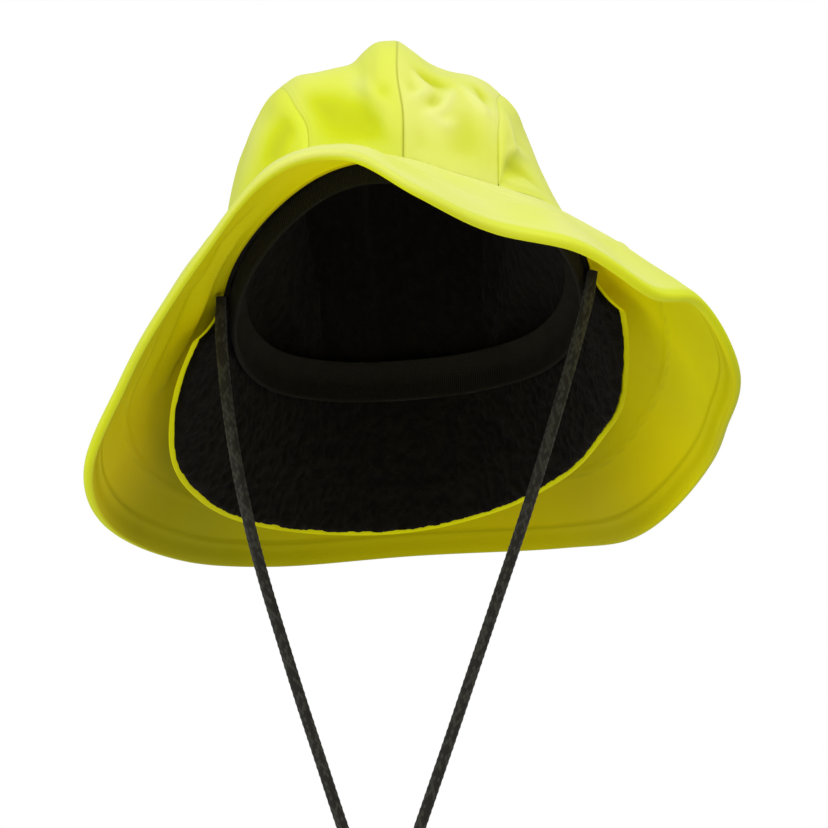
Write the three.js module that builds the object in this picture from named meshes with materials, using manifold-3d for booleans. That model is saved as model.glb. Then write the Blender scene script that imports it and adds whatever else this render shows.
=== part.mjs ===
// Sou'wester hat in its worn form: a soft crown of four panels whose centre seam stands up as a ridge,
// a wide brim that is short in front and long behind, a black ribbed band and lining inside, a fleece-backed
// neck flap, and a chin cord with a plain cord lock.
// Millimetres, +Z up, the front towards -Y, +X to the right of someone facing the hat.
// The origin is the middle of the head opening at the height of the temples.
// Azimuths are in degrees, from 0 at the front to 90 at the right, 180 at the back and 270 at the left.

import * as THREE from "three";
import * as BufferGeometryUtils from "three/addons/utils/BufferGeometryUtils.js";
import Module from "manifold-3d";

const wasm = await Module();
wasm.setup();

// Head opening, measured to the outside of the crown
const openingHalfWidth = 89;
const openingHalfLength = 111;
const rimRise = 42; // the highest point of the rim, in front, above the temples

// Crown
const crownHeight = 112; // the top of the ridge above the temples
const shoulderHeight = 93; // the top of the shoulder seams above the temples
const shoulderHalfWidth = 53; // from the centre seam to a shoulder seam
const shoulderStart = 28; // degrees from front or back to where a shoulder seam leaves the rim
const sideBulge = 10; // how far a side panel swells at most
const roofHollow = 4; // how deep the roof sinks beside the ridge
const clothWall = 1.2;
const seamGap = 0.3; // between two pieces that are sewn together

// Brim
const brimReach = 119; // along the cloth; the table below holds the share of it at each azimuth
const hemWidth = 11.5;
const hemWall = 2.4;

// Inside of the crown
const liningWall = 2.5;
const liningSlack = 5.5; // how far the lining hangs off the cloth of the crown
const liningHold = 0.28; // the share of the side panels where the lining lies against the cloth
const liningEase = 0.15; // the share over which it then comes away
const bandWall = 2;
const bandHeight = 18;
const bandDrop = 10; // the part of the band that shows below the rim
const bandTuck = 1; // how far its lower edge turns in
const bandLean = 0.8; // how far the band leans in, for each mm of height above the rim

// Neck flap
const flapLength = 74; // at the back
const flapStart = 78; // azimuth of its front edge at either temple
const fleeceWall = 2.5;
const fleeceGap = 0.8; // between the shell and the fleece
const fleeceSetback = 1.5; // the yellow shell shows this far below the fleece
const flareAtTop = 0.5; // the share of the flare that the flap has at the rim

// The worn hat sits askew: its right side is the higher one
const hatLean = -4.5;

// Chin cord and its lock
const cordDiameter = 5;
const lockWidth = 21;
const lockHeight = 15;
const lockDepth = 11;
const lockCorner = 4;
const lockBevel = 1.2;
const lockClearance = 0.4;
const lockWeb = 3.8; // between the two runs of cord in the lock

// How finely the curved pieces are cut into flat faces
const panelRows = 22;
const panelColumns = 7;
const liningRows = 14;
const liningColumns = 16;
const brimTurns = 60;
const brimSpans = 7;
const arcSteps = 12;
const bandTurns = 48;
const flapTurns = 40;
const flapSpans = 5;
const cordSteps = 60;
const cordSides = 8;
const boreSides = 12;
const seamEdge = 0.02; // nearer to a seam than this share of a panel, a point counts as on the seam

// Height of the rim, as a share of its rise
const rimTable = [
  { azimuth: 0, height: 0.885 },
  { azimuth: 15, height: 0.7 },
  { azimuth: 30, height: 0.565 },
  { azimuth: 50, height: 0.455 },
  { azimuth: 72, height: 0.14 },
  { azimuth: 90, height: -0.19 },
  { azimuth: 120, height: -0.47 },
  { azimuth: 150, height: -0.53 },
  { azimuth: 180, height: -0.53 },
  { azimuth: 210, height: -0.53 },
  { azimuth: 240, height: -0.47 },
  { azimuth: 270, height: -0.19 },
  { azimuth: 300, height: 0.33 },
  { azimuth: 330, height: 0.81 },
  { azimuth: 345, height: 0.93 },
];

// Sections of the brim: its reach as a share of the brim's reach, how many degrees it droops below level
// at its root and at its edge, and how far the section swings round from square to the rim
const brimTable = [
  { azimuth: 0, reach: 0.575, rootDroop: 15, edgeDroop: 36, swing: 2 },
  { azimuth: 15, reach: 0.45, rootDroop: 28, edgeDroop: 52, swing: 0 },
  { azimuth: 30, reach: 0.51, rootDroop: 24, edgeDroop: 52, swing: 0 },
  { azimuth: 45, reach: 0.635, rootDroop: 34, edgeDroop: 54, swing: 0 },
  { azimuth: 60, reach: 0.62, rootDroop: 22, edgeDroop: 54, swing: 0 },
  { azimuth: 75, reach: 0.74, rootDroop: 28, edgeDroop: 60, swing: 0 },
  { azimuth: 90, reach: 0.735, rootDroop: 32, edgeDroop: 67, swing: 4 },
  { azimuth: 105, reach: 0.765, rootDroop: 34, edgeDroop: 64, swing: 8 },
  { azimuth: 130, reach: 0.865, rootDroop: 44, edgeDroop: 66, swing: 6 },
  { azimuth: 155, reach: 0.95, rootDroop: 38, edgeDroop: 51, swing: 2 },
  { azimuth: 180, reach: 0.945, rootDroop: 34, edgeDroop: 49, swing: 0 },
  { azimuth: 205, reach: 0.92, rootDroop: 38, edgeDroop: 53, swing: 0 },
  { azimuth: 230, reach: 0.86, rootDroop: 44, edgeDroop: 58, swing: 2 },
  { azimuth: 255, reach: 0.845, rootDroop: 38, edgeDroop: 57, swing: 4 },
  { azimuth: 270, reach: 0.785, rootDroop: 31, edgeDroop: 58, swing: 8 },
  { azimuth: 285, reach: 0.625, rootDroop: 25, edgeDroop: 56, swing: 18 },
  { azimuth: 300, reach: 0.625, rootDroop: 12, edgeDroop: 58, swing: 24 },
  { azimuth: 315, reach: 0.6, rootDroop: 0, edgeDroop: 50, swing: 24 },
  { azimuth: 330, reach: 0.575, rootDroop: -17, edgeDroop: 37, swing: 22 },
  { azimuth: 345, reach: 0.465, rootDroop: -9, edgeDroop: 30, swing: 12 },
];

// Soft folds of the brim that run from its root outwards: where they lie, how many degrees they spread,
// how deep they sink as a share of the brim's reach, and the shares of the reach where they start and end
const brimFolds = [
  { azimuth: 298, spread: 5, depth: 0.03, start: 0.05, end: 0.8 },
  { azimuth: 62, spread: 7, depth: 0.02, start: 0.1, end: 0.9 },
  { azimuth: 22, spread: 6, depth: 0.012, start: 0.1, end: 0.7 },
];

// The centre seam from front to back: along is the share of its way, the rest are shares of the shoulder's
// half width, the opening's half length and the crown's height
const centreSeam = [
  { along: 0.06, x: 0.03, y: -0.97, z: 0.52 },
  { along: 0.12, x: 0.015, y: -0.885, z: 0.7 },
  { along: 0.19, x: 0.045, y: -0.73, z: 0.86 },
  { along: 0.28, x: 0.07, y: -0.45, z: 0.965 },
  { along: 0.38, x: 0.05, y: -0.13, z: 1 },
  { along: 0.48, x: 0.03, y: 0.18, z: 0.99 },
  { along: 0.58, x: 0.02, y: 0.5, z: 0.92 },
  { along: 0.68, x: 0, y: 0.77, z: 0.75 },
  { along: 0.78, x: 0, y: 0.93, z: 0.48 },
  { along: 0.89, x: 0, y: 0.99, z: 0.15 },
];

// The two shoulder seams from front to back, as shares of the shoulder's half width, the opening's half
// length and the shoulder's height; the right shoulder has sunk further than the left
const shoulderSeams = [
  { along: 0.08, y: -0.8, leftX: 0.78, leftZ: 0.64, rightX: 0.83, rightZ: 0.52 },
  { along: 0.135, y: -0.72, leftX: 0.86, leftZ: 0.77, rightX: 0.87, rightZ: 0.66 },
  { along: 0.2, y: -0.58, leftX: 0.94, leftZ: 0.91, rightX: 0.88, rightZ: 0.78 },
  { along: 0.28, y: -0.38, leftX: 1, leftZ: 0.98, rightX: 0.95, rightZ: 0.87 },
  { along: 0.38, y: -0.1, leftX: 1.02, leftZ: 1, rightX: 1, rightZ: 0.91 },
  { along: 0.51, y: 0.25, leftX: 1.02, leftZ: 0.985, rightX: 1.02, rightZ: 0.91 },
  { along: 0.61, y: 0.52, leftX: 1, leftZ: 0.89, rightX: 1, rightZ: 0.85 },
  { along: 0.72, y: 0.74, leftX: 0.95, leftZ: 0.64, rightX: 0.95, rightZ: 0.62 },
  { along: 0.84, y: 0.85, leftX: 0.87, leftZ: 0.27, rightX: 0.87, rightZ: 0.26 },
];

// How a top panel rises and sinks from the ridge (across 0) to the shoulder (across 1), as shares of the
// roof's hollow
const roofProfile = [
  { across: 0, left: 0, right: 0 },
  { across: 0.16, left: 0.7, right: -0.3 },
  { across: 0.28, left: 0, right: -0.5 },
  { across: 0.4, left: -1, right: -0.5 },
  { across: 0.55, left: -0.7, right: -0.2 },
  { across: 0.7, left: -0.2, right: 0.3 },
  { across: 0.85, left: 0.4, right: 0.5 },
  { across: 1, left: 0, right: 0 },
];

// How a side panel swells from the rim (across 0) to the shoulder (across 1), as shares of the bulge
const sideProfile = [
  { across: 0, left: 0, right: 0 },
  { across: 0.25, left: 0.6, right: -0.25 },
  { across: 0.5, left: 0.9, right: -0.15 },
  { across: 0.7, left: 0.88, right: 0.15 },
  { across: 0.85, left: 0.65, right: 0.3 },
  { across: 0.94, left: 0.35, right: 0.2 },
  { across: 1, left: 0, right: 0 },
];

// Dents of the crown: the panel, the place along and across it, how far they spread as shares of the panel
// either way, and their depth as a share of the bulge
const dents = [
  { panel: "side_right", along: 0.12, across: 0.45, alongSpread: 0.07, acrossSpread: 0.2, depth: 0.5 },
  { panel: "side_right", along: 0.3, across: 0.72, alongSpread: 0.08, acrossSpread: 0.14, depth: 0.25 },
  { panel: "top_right", along: 0.24, across: 0.42, alongSpread: 0.05, acrossSpread: 0.18, depth: 0.35 },
  { panel: "top_right", along: 0.13, across: 0.75, alongSpread: 0.04, acrossSpread: 0.16, depth: 0.2 },
  { panel: "top_left", along: 0.13, across: 0.5, alongSpread: 0.07, acrossSpread: 0.3, depth: 0.45 },
  { panel: "side_left", along: 0.2, across: 0.8, alongSpread: 0.07, acrossSpread: 0.12, depth: 0.25 },
  { panel: "side_left", along: 0.6, across: 0.5, alongSpread: 0.12, acrossSpread: 0.2, depth: 0.3 },
  { panel: "side_right", along: 0.65, across: 0.5, alongSpread: 0.1, acrossSpread: 0.2, depth: 0.3 },
];

// Sections of the neck flap: turn is the share of its way from the right temple round the back to the left,
// length is a share of the length at the back, and flare is how many degrees it stands out from plumb
const flapTable = [
  { turn: 0, length: 0.35, flare: 33 },
  { turn: 0.039, length: 0.52, flare: 20 },
  { turn: 0.088, length: 0.665, flare: 12 },
  { turn: 0.157, length: 0.71, flare: 8 },
  { turn: 0.255, length: 0.8, flare: 8 },
  { turn: 0.377, length: 0.92, flare: 9 },
  { turn: 0.5, length: 1, flare: 8 },
  { turn: 0.623, length: 1, flare: 10 },
  { turn: 0.745, length: 0.98, flare: 14 },
  { turn: 0.843, length: 0.95, flare: 20 },
  { turn: 0.912, length: 0.86, flare: 27 },
  { turn: 0.961, length: 0.63, flare: 33 },
  { turn: 1, length: 0.34, flare: 37 },
];

// The middle of the cord, from the left temple down through the lock, round its small loop and up again
const cordRoute = [
  [-86, -29, -9],
  [-86, -29.5, -22],
  [-84.5, -30, -42],
  [-81.5, -30.5, -66],
  [-77.5, -31, -90],
  [-72, -31.5, -115],
  [-65, -32, -141],
  [-57, -32, -167],
  [-48.5, -32.5, -194],
  [-39.5, -32.5, -221],
  [-30.5, -33, -248],
  [-22.5, -33, -271],
  [-17.8, -33, -286],
  [-16.4, -33, -295],
  [-16.4, -33, -305.5],
  [-16.4, -33, -316],
  [-17.2, -33, -321],
  [-19.6, -33, -327],
  [-22, -33, -333],
  [-20.7, -33, -338],
  [-17, -33, -341.7],
  [-12, -33, -343],
  [-7, -33, -341.7],
  [-3.3, -33, -338],
  [-2, -33, -333],
  [-4.4, -33, -327],
  [-6.8, -33, -321],
  [-7.6, -33, -316],
  [-7.6, -33, -305.5],
  [-7.6, -33, -295],
  [-5.4, -33, -286],
  [1, -33, -267],
  [10, -32.5, -241],
  [20, -32.5, -212],
  [30.5, -32, -181],
  [41, -32, -150],
  [51.5, -31.5, -119],
  [61.5, -31, -88],
  [70.5, -30.5, -58],
  [78.5, -30, -30],
  [84, -29.5, -9],
  [86.4, -29, 4],
];
const lockPlace = { x: -12, y: -33, z: -305.5 };

// How far inside the rim the two layers of the flap start
const shellDepth = seamGap;
const fleeceDepth = shellDepth + clothWall + fleeceGap;

// A smooth value from a table: rows are read by their key, and the ends are joined when a period is given
function tableAt(rows, key, at, columns, period) {
  const count = rows.length;
  const first = rows[0][key];
  const place = period ? first + ((((at - first) % period) + period) % period) : at;
  let k = 0;
  while (k < count - 1 && place >= rows[k + 1][key]) k += 1;
  if (!period) k = Math.min(k, count - 2);
  const row = (i) => rows[period ? (i + count) % count : Math.min(Math.max(i, 0), count - 1)];
  const keyOf = (i) => {
    if (!period) return rows[Math.min(Math.max(i, 0), count - 1)][key];
    return row(i)[key] + period * Math.floor(i / count);
  };
  const [k0, k1, k2, k3] = [k - 1, k, k + 1, k + 2].map(keyOf);
  const step = k2 - k1;
  const s = (place - k1) / step;
  const values = {};
  for (const column of columns) {
    const [a, b, c, d] = [k - 1, k, k + 1, k + 2].map((i) => row(i)[column]);
    const slopeIn = ((c - a) / (k2 - k0)) * step;
    const slopeOut = ((d - b) / (k3 - k1)) * step;
    const start = (2 * s ** 3 - 3 * s ** 2 + 1) * b + (s ** 3 - 2 * s ** 2 + s) * slopeIn;
    values[column] = start + (3 * s ** 2 - 2 * s ** 3) * c + (s ** 3 - s ** 2) * slopeOut;
  }
  return values;
}

// A soft hollow of depth 1 in its middle that fades out at about twice the spread
function hollow(distance, spread) {
  return Math.exp(-((distance / spread) ** 2));
}

// The square direction out of the rim, level, at an azimuth
function outward(azimuth, swing = 0) {
  const a = THREE.MathUtils.degToRad(azimuth);
  const out = new THREE.Vector3(Math.sin(a) / openingHalfWidth, -Math.cos(a) / openingHalfLength, 0);
  return out.normalize().applyAxisAngle(new THREE.Vector3(0, 0, 1), THREE.MathUtils.degToRad(swing));
}

// The line where crown and brim are sewn together
function rimPoint(azimuth, inset = 0, rise = 0) {
  const a = THREE.MathUtils.degToRad(azimuth);
  const z = rimRise * tableAt(rimTable, "azimuth", azimuth, ["height"], 360).height + rise;
  const point = new THREE.Vector3(openingHalfWidth * Math.sin(a), -openingHalfLength * Math.cos(a), z);
  return point.addScaledVector(outward(azimuth), -inset);
}

// A seam that starts and ends on the rim
function seamLine(stations, startAzimuth, endAzimuth) {
  const start = rimPoint(startAzimuth);
  const end = rimPoint(endAzimuth);
  const rows = [{ along: 0, x: start.x, y: start.y, z: start.z }];
  rows.push(...stations);
  rows.push({ along: 1, x: end.x, y: end.y, z: end.z });
  return (along) => {
    const at = tableAt(rows, "along", along, ["x", "y", "z"]);
    return new THREE.Vector3(at.x, at.y, at.z);
  };
}

const centreLine = seamLine(
  centreSeam.map((row) => ({
    along: row.along,
    x: row.x * shoulderHalfWidth,
    y: row.y * openingHalfLength,
    z: row.z * crownHeight,
  })),
  0,
  180,
);

function shoulderLine(side) {
  const sign = side === "left" ? -1 : 1;
  const stations = shoulderSeams.map((row) => ({
    along: row.along,
    x: sign * row[side + "X"] * shoulderHalfWidth,
    y: row.y * openingHalfLength,
    z: row[side + "Z"] * shoulderHeight,
  }));
  return seamLine(stations, sign * shoulderStart, sign * (180 - shoulderStart));
}

const shoulders = { left: shoulderLine("left"), right: shoulderLine("right") };

function sideSign(side) {
  return side === "left" ? -1 : 1;
}

function dentDepth(panel, along, across) {
  let depth = 0;
  for (const dent of dents) {
    if (dent.panel !== panel) continue;
    const fade = hollow(along - dent.along, dent.alongSpread);
    depth += dent.depth * sideBulge * fade * hollow(across - dent.across, dent.acrossSpread);
  }
  return depth;
}

// A top panel without its rise and fall: across 0 is the centre seam, across 1 the shoulder seam
function plainTop(side, along, across) {
  const point = centreLine(along).lerp(shoulders[side](along), across);
  const sign = sideSign(side);
  for (const [end, share] of [
    [0, (1 - along) ** 4],
    [1, along ** 4],
  ]) {
    const azimuth = sign * (end === 0 ? shoulderStart * across : 180 - shoulderStart * across);
    const chord = centreLine(end).lerp(shoulders[side](end), across);
    point.addScaledVector(rimPoint(azimuth).sub(chord), share);
  }
  return point;
}

// A side panel without its swell: across 0 is the rim, across 1 the shoulder seam
function sideAzimuth(side, along) {
  return sideSign(side) * (shoulderStart + (180 - 2 * shoulderStart) * along);
}

function plainSide(side, along, across) {
  return rimPoint(sideAzimuth(side, along)).lerp(shoulders[side](along), across);
}

const plainPanel = { top: plainTop, side: plainSide };

// The direction out of a plain panel, from small steps along and across it
function plainNormal(kind, side, along, across) {
  const a = Math.min(Math.max(along, seamEdge), 1 - seamEdge);
  const c = Math.min(Math.max(across, seamEdge), 1 - seamEdge);
  const panel = plainPanel[kind];
  const alongStep = panel(side, a + seamEdge, c).sub(panel(side, a - seamEdge, c));
  const acrossStep = panel(side, a, c + seamEdge).sub(panel(side, a, c - seamEdge));
  const normal = alongStep.cross(acrossStep).normalize();
  return normal.dot(panel(side, a, c)) < 0 ? normal.negate() : normal;
}

// 1 in the middle of a panel and 0 at both of its ends; the power sets how soon it rises
function fadeToEnds(share, power) {
  return Math.max(Math.sin(Math.PI * share), 0) ** power;
}

// How far a crown panel stands proud of its plain form, below nought where it is hollow or dented
function swellAt(kind, side, along, across) {
  const profile = kind === "top" ? roofProfile : sideProfile;
  const size = kind === "top" ? roofHollow : sideBulge;
  const swell = tableAt(profile, "across", across, [side])[side] * size;
  const dent = dentDepth(kind + "_" + side, along, across) * fadeToEnds(across, 0.5);
  return (swell - dent) * fadeToEnds(along, 0.7);
}

// The outer face of a crown panel
function crownPoint(kind, side, along, across) {
  const normal = plainNormal(kind, side, along, across);
  return plainPanel[kind](side, along, across).addScaledVector(normal, swellAt(kind, side, along, across));
}

// The direction in which a crown panel has its thickness, mitred along its seams and level at the rim
function crownDepthAt(kind, side, along, across) {
  const sign = sideSign(side);
  const atRim = across < seamEdge || along === 0 || along === 1;
  if (kind === "side" && atRim) return outward(sideAzimuth(side, along));
  if (kind === "top" && along === 0) return outward(sign * shoulderStart * across);
  if (kind === "top" && along === 1) return outward(sign * (180 - shoulderStart * across));
  if (across > 1 - seamEdge) {
    const top = plainNormal("top", side, along, 1);
    return top.add(plainNormal("side", side, along, 1)).normalize();
  }
  const normal = plainNormal(kind, side, along, across);
  if (kind === "top" && across < seamEdge) normal.setX(0).normalize();
  return normal;
}

// A closed wall between an outer and an inner grid of points, whose rows may close on themselves
function wallGeometry(outer, inner, closedRows = false, closedColumns = false) {
  const positions = [];
  const places = new Map();
  const indices = [];
  const indexOf = (point) => {
    const name = point.toArray().map((value) => value.toFixed(4)).join();
    if (!places.has(name)) {
      places.set(name, positions.length / 3);
      positions.push(point.x, point.y, point.z);
    }
    return places.get(name);
  };
  const addTriangle = (a, b, c) => {
    if (a !== b && b !== c && c !== a) indices.push(a, b, c);
  };
  const addQuad = (a, b, c, d) => {
    const [ia, ib, ic, id] = [a, b, c, d].map(indexOf);
    addTriangle(ia, ib, ic);
    addTriangle(ia, ic, id);
  };
  const rows = outer.length;
  const columns = outer[0].length;
  const lastRow = closedRows ? rows : rows - 1;
  const lastColumn = closedColumns ? columns : columns - 1;
  for (let i = 0; i < lastRow; i += 1) {
    const next = (i + 1) % rows;
    for (let j = 0; j < lastColumn; j += 1) {
      const beside = (j + 1) % columns;
      addQuad(outer[i][j], outer[next][j], outer[next][beside], outer[i][beside]);
      addQuad(inner[i][j], inner[i][beside], inner[next][beside], inner[next][j]);
    }
    if (!closedColumns) {
      addQuad(outer[i][0], inner[i][0], inner[next][0], outer[next][0]);
      const j = columns - 1;
      addQuad(outer[i][j], outer[next][j], inner[next][j], inner[i][j]);
    }
  }
  for (let j = 0; j < lastColumn; j += 1) {
    if (closedRows) break;
    const beside = (j + 1) % columns;
    addQuad(outer[0][j], outer[0][beside], inner[0][beside], inner[0][j]);
    const i = rows - 1;
    addQuad(outer[i][j], inner[i][j], inner[i][beside], outer[i][beside]);
  }
  const geometry = new THREE.BufferGeometry();
  geometry.setAttribute("position", new THREE.Float32BufferAttribute(positions, 3));
  geometry.setIndex(volumeOf(positions, indices) < 0 ? indices.reverse() : indices);
  return geometry;
}

// Six times the volume that the triangles enclose, below nought when they face inwards
function volumeOf(positions, indices) {
  const corner = (k) => new THREE.Vector3(...positions.slice(3 * k, 3 * k + 3));
  let volume = 0;
  for (let k = 0; k < indices.length; k += 3) {
    volume += corner(indices[k]).dot(corner(indices[k + 1]).cross(corner(indices[k + 2])));
  }
  return volume;
}

function gridOf(rows, columns, point) {
  const grid = [];
  for (let i = 0; i <= rows; i += 1) {
    const line = [];
    for (let j = 0; j <= columns; j += 1) line.push(point(i / rows, j / columns));
    grid.push(line);
  }
  return grid;
}

function panelGeometry(kind, side) {
  const place = (along, across) => {
    const width = plainPanel[kind](side, along, 0).distanceTo(plainPanel[kind](side, along, 1));
    const inset = Math.min(seamGap / 2 / Math.max(width, seamGap), 0.5);
    const atTip = kind === "side" && (along === 0 || along === 1);
    return atTip ? 0 : inset + (1 - 2 * inset) * across;
  };
  const tipOf = (along) => {
    const turn = THREE.MathUtils.radToDeg(seamGap / openingHalfWidth);
    return rimPoint(sideAzimuth(side, along) + sideSign(side) * (along === 0 ? turn : -turn));
  };
  const outerAt = (along, across) => {
    if (kind === "side" && (along === 0 || along === 1)) return tipOf(along);
    return crownPoint(kind, side, along, place(along, across));
  };
  const innerAt = (along, across) => {
    const depth = crownDepthAt(kind, side, along, place(along, across));
    return outerAt(along, across).addScaledVector(depth, -clothWall);
  };
  return wallGeometry(gridOf(panelRows, panelColumns, outerAt), gridOf(panelRows, panelColumns, innerAt));
}

// The lining follows the plain form of the crown, from the left rim over the ridge to the right rim
function liningPoint(along, across, depth) {
  const quarter = Math.min(Math.floor(across * 4), 3);
  const within = across * 4 - quarter;
  const side = quarter < 2 ? "left" : "right";
  const kind = quarter === 0 || quarter === 3 ? "side" : "top";
  const share = quarter === 0 || quarter === 2 ? within : 1 - within;
  if (along === 0 || along === 1) {
    const sign = sideSign(side);
    const turn = kind === "side" ? shoulderStart : shoulderStart * share;
    const azimuth = sign * (along === 0 ? turn : 180 - turn);
    return rimPoint(azimuth, clothWall + seamGap + depth, -clothWall);
  }
  if (kind === "side" && share === 0) {
    return rimPoint(sideAzimuth(side, along), clothWall + seamGap + depth, -clothWall);
  }
  const alongEdge = Math.min(along, 1 - along) / liningEase;
  const upEdge = kind === "side" ? Math.max(share - liningHold, 0) / liningEase : 1;
  const rise = Math.min(upEdge, 1) * Math.min(alongEdge, 1);
  const hollowed = Math.max(-swellAt(kind, side, along, share), 0);
  const offset = clothWall + seamGap + rise * liningSlack + hollowed + depth;
  const normal = plainNormal(kind, side, along, share);
  if (share < seamEdge && kind === "top") normal.setX(0).normalize();
  if (share > 1 - seamEdge) normal.copy(crownDepthAt(kind, side, along, 1));
  return plainPanel[kind](side, along, share).addScaledVector(normal, -offset);
}

function liningGeometry() {
  const outer = gridOf(liningRows, liningColumns, (along, across) => liningPoint(along, across, 0));
  const inner = gridOf(liningRows, liningColumns, (along, across) => liningPoint(along, across, liningWall));
  return wallGeometry(outer, inner);
}

// The brim starts with a ledge under the crown's wall, then bends down along an arc
function brimPoint(azimuth, share) {
  const columns = ["reach", "rootDroop", "edgeDroop", "swing"];
  const section = tableAt(brimTable, "azimuth", azimuth, columns, 360);
  const out = outward(azimuth, section.swing);
  const point = rimPoint(azimuth, 0, -seamGap);
  const stride = (section.reach * brimReach * share) / arcSteps;
  const droopAt = (at) => {
    return THREE.MathUtils.degToRad(section.rootDroop + (section.edgeDroop - section.rootDroop) * at);
  };
  for (let i = 0; i < arcSteps; i += 1) {
    const droop = droopAt(((i + 0.5) / arcSteps) * share);
    point.addScaledVector(out, stride * Math.cos(droop));
    point.z -= stride * Math.sin(droop);
  }
  const edge = droopAt(share);
  const normal = out.clone().multiplyScalar(Math.sin(edge)).add(new THREE.Vector3(0, 0, Math.cos(edge)));
  return { point: point.addScaledVector(normal, -foldDepth(azimuth, share)), normal };
}

function foldDepth(azimuth, share) {
  let depth = 0;
  for (const fold of brimFolds) {
    if (share < fold.start || share > fold.end) continue;
    const place = (share - fold.start) / (fold.end - fold.start);
    depth += fold.depth * brimReach * hollow(azimuth - fold.azimuth, fold.spread) * fadeToEnds(place, 2);
  }
  return depth;
}

function brimGeometry() {
  const top = [];
  const underside = [];
  for (let i = 0; i < brimTurns; i += 1) {
    const azimuth = (360 / brimTurns) * i;
    const reach = tableAt(brimTable, "azimuth", azimuth, ["reach"], 360).reach * brimReach;
    const hemStart = 1 - hemWidth / reach;
    const ledge = rimPoint(azimuth, clothWall, -seamGap);
    const topLine = [ledge];
    const lowLine = [ledge.clone().add(new THREE.Vector3(0, 0, -clothWall))];
    const shares = [0];
    for (let k = 1; k <= brimSpans; k += 1) shares.push((hemStart * k) / brimSpans);
    for (const share of shares) {
      const { point, normal } = brimPoint(azimuth, share);
      topLine.push(point);
      lowLine.push(point.clone().addScaledVector(normal, -clothWall));
    }
    const hemStep = hemWall / 2 / reach;
    for (const share of [hemStart + hemStep, 1 - hemStep, 1]) {
      const { point, normal } = brimPoint(azimuth, share);
      const round = share === 1 ? hemWall / 4 : 0;
      topLine.push(point.clone().addScaledVector(normal, -round));
      lowLine.push(point.clone().addScaledVector(normal, round - hemWall));
    }
    top.push(topLine);
    underside.push(lowLine);
  }
  return wallGeometry(top, underside, true);
}

// The band stands in the opening: its lower part shows below the rim, its upper part leans in
function bandGeometry() {
  const clearance = shellDepth + clothWall + fleeceGap + fleeceWall + seamGap;
  const levels = [
    { inset: clearance + bandTuck, rise: -bandDrop },
    { inset: clearance, rise: -bandDrop / 2 },
    { inset: clearance, rise: 0 },
    { inset: clearance + bandLean * (bandHeight - bandDrop), rise: bandHeight - bandDrop },
  ];
  const outer = [];
  const inner = [];
  for (let i = 0; i < bandTurns; i += 1) {
    const azimuth = (360 / bandTurns) * i;
    outer.push(levels.map((level) => rimPoint(azimuth, level.inset, level.rise)));
    inner.push(levels.map((level) => rimPoint(azimuth, level.inset + bandWall, level.rise)));
  }
  return wallGeometry(outer, inner, true);
}

// A layer of the neck flap, from the temples round the back; depth is how far inside the rim it starts
function flapLayer(depth, wall, setback) {
  const top = -(clothWall + 2 * seamGap);
  const pointAt = (turn, share, thickness) => {
    const azimuth = flapStart + (360 - 2 * flapStart) * turn;
    const section = tableAt(flapTable, "turn", turn, ["length", "flare"]);
    const whole = section.length * flapLength;
    const kept = (whole - setback) / whole;
    const stride = (whole * kept * share) / arcSteps;
    const flareAt = (at) => THREE.MathUtils.degToRad(section.flare * (flareAtTop + at * share * kept));
    const out = outward(azimuth);
    const point = rimPoint(azimuth, depth, top);
    for (let i = 0; i < arcSteps; i += 1) {
      const flare = flareAt((i + 0.5) / arcSteps);
      point.addScaledVector(out, stride * Math.sin(flare));
      point.z -= stride * Math.cos(flare);
    }
    const edge = share === 0 ? 0 : flareAt(1);
    const normal = out.clone().multiplyScalar(Math.cos(edge)).add(new THREE.Vector3(0, 0, Math.sin(edge)));
    return point.addScaledVector(normal, -thickness);
  };
  const outer = gridOf(flapTurns, flapSpans, (turn, share) => pointAt(turn, share, 0));
  const inner = gridOf(flapTurns, flapSpans, (turn, share) => pointAt(turn, share, wall));
  return wallGeometry(outer, inner);
}

function circleShape(radius, sides) {
  const points = [];
  for (let k = 0; k < sides; k += 1) {
    const angle = (2 * Math.PI * (k + 0.5)) / sides;
    points.push(new THREE.Vector2(radius * Math.cos(angle), radius * Math.sin(angle)));
  }
  return new THREE.Shape(points);
}

function cordGeometry() {
  const places = cordRoute.map((point) => new THREE.Vector3(...point));
  const curve = new THREE.CatmullRomCurve3(places, false, "centripetal");
  return new THREE.ExtrudeGeometry(circleShape(cordDiameter / 2, cordSides), {
    steps: cordSteps,
    bevelEnabled: false,
    extrudePath: curve,
  });
}

function solidOf(geometry) {
  const bare = geometry.clone();
  bare.deleteAttribute("normal");
  bare.deleteAttribute("uv");
  const merged = BufferGeometryUtils.mergeVertices(bare, 1e-4);
  const vertProperties = new Float32Array(merged.attributes.position.array);
  const triVerts = new Uint32Array(merged.index.array);
  return new wasm.Manifold(new wasm.Mesh({ numProp: 3, vertProperties, triVerts }));
}

function geometryOf(solid) {
  const mesh = solid.getMesh();
  const geometry = new THREE.BufferGeometry();
  geometry.setAttribute("position", new THREE.Float32BufferAttribute(mesh.vertProperties, 3));
  geometry.setIndex(new THREE.Uint32BufferAttribute(mesh.triVerts, 1));
  return geometry;
}

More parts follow.
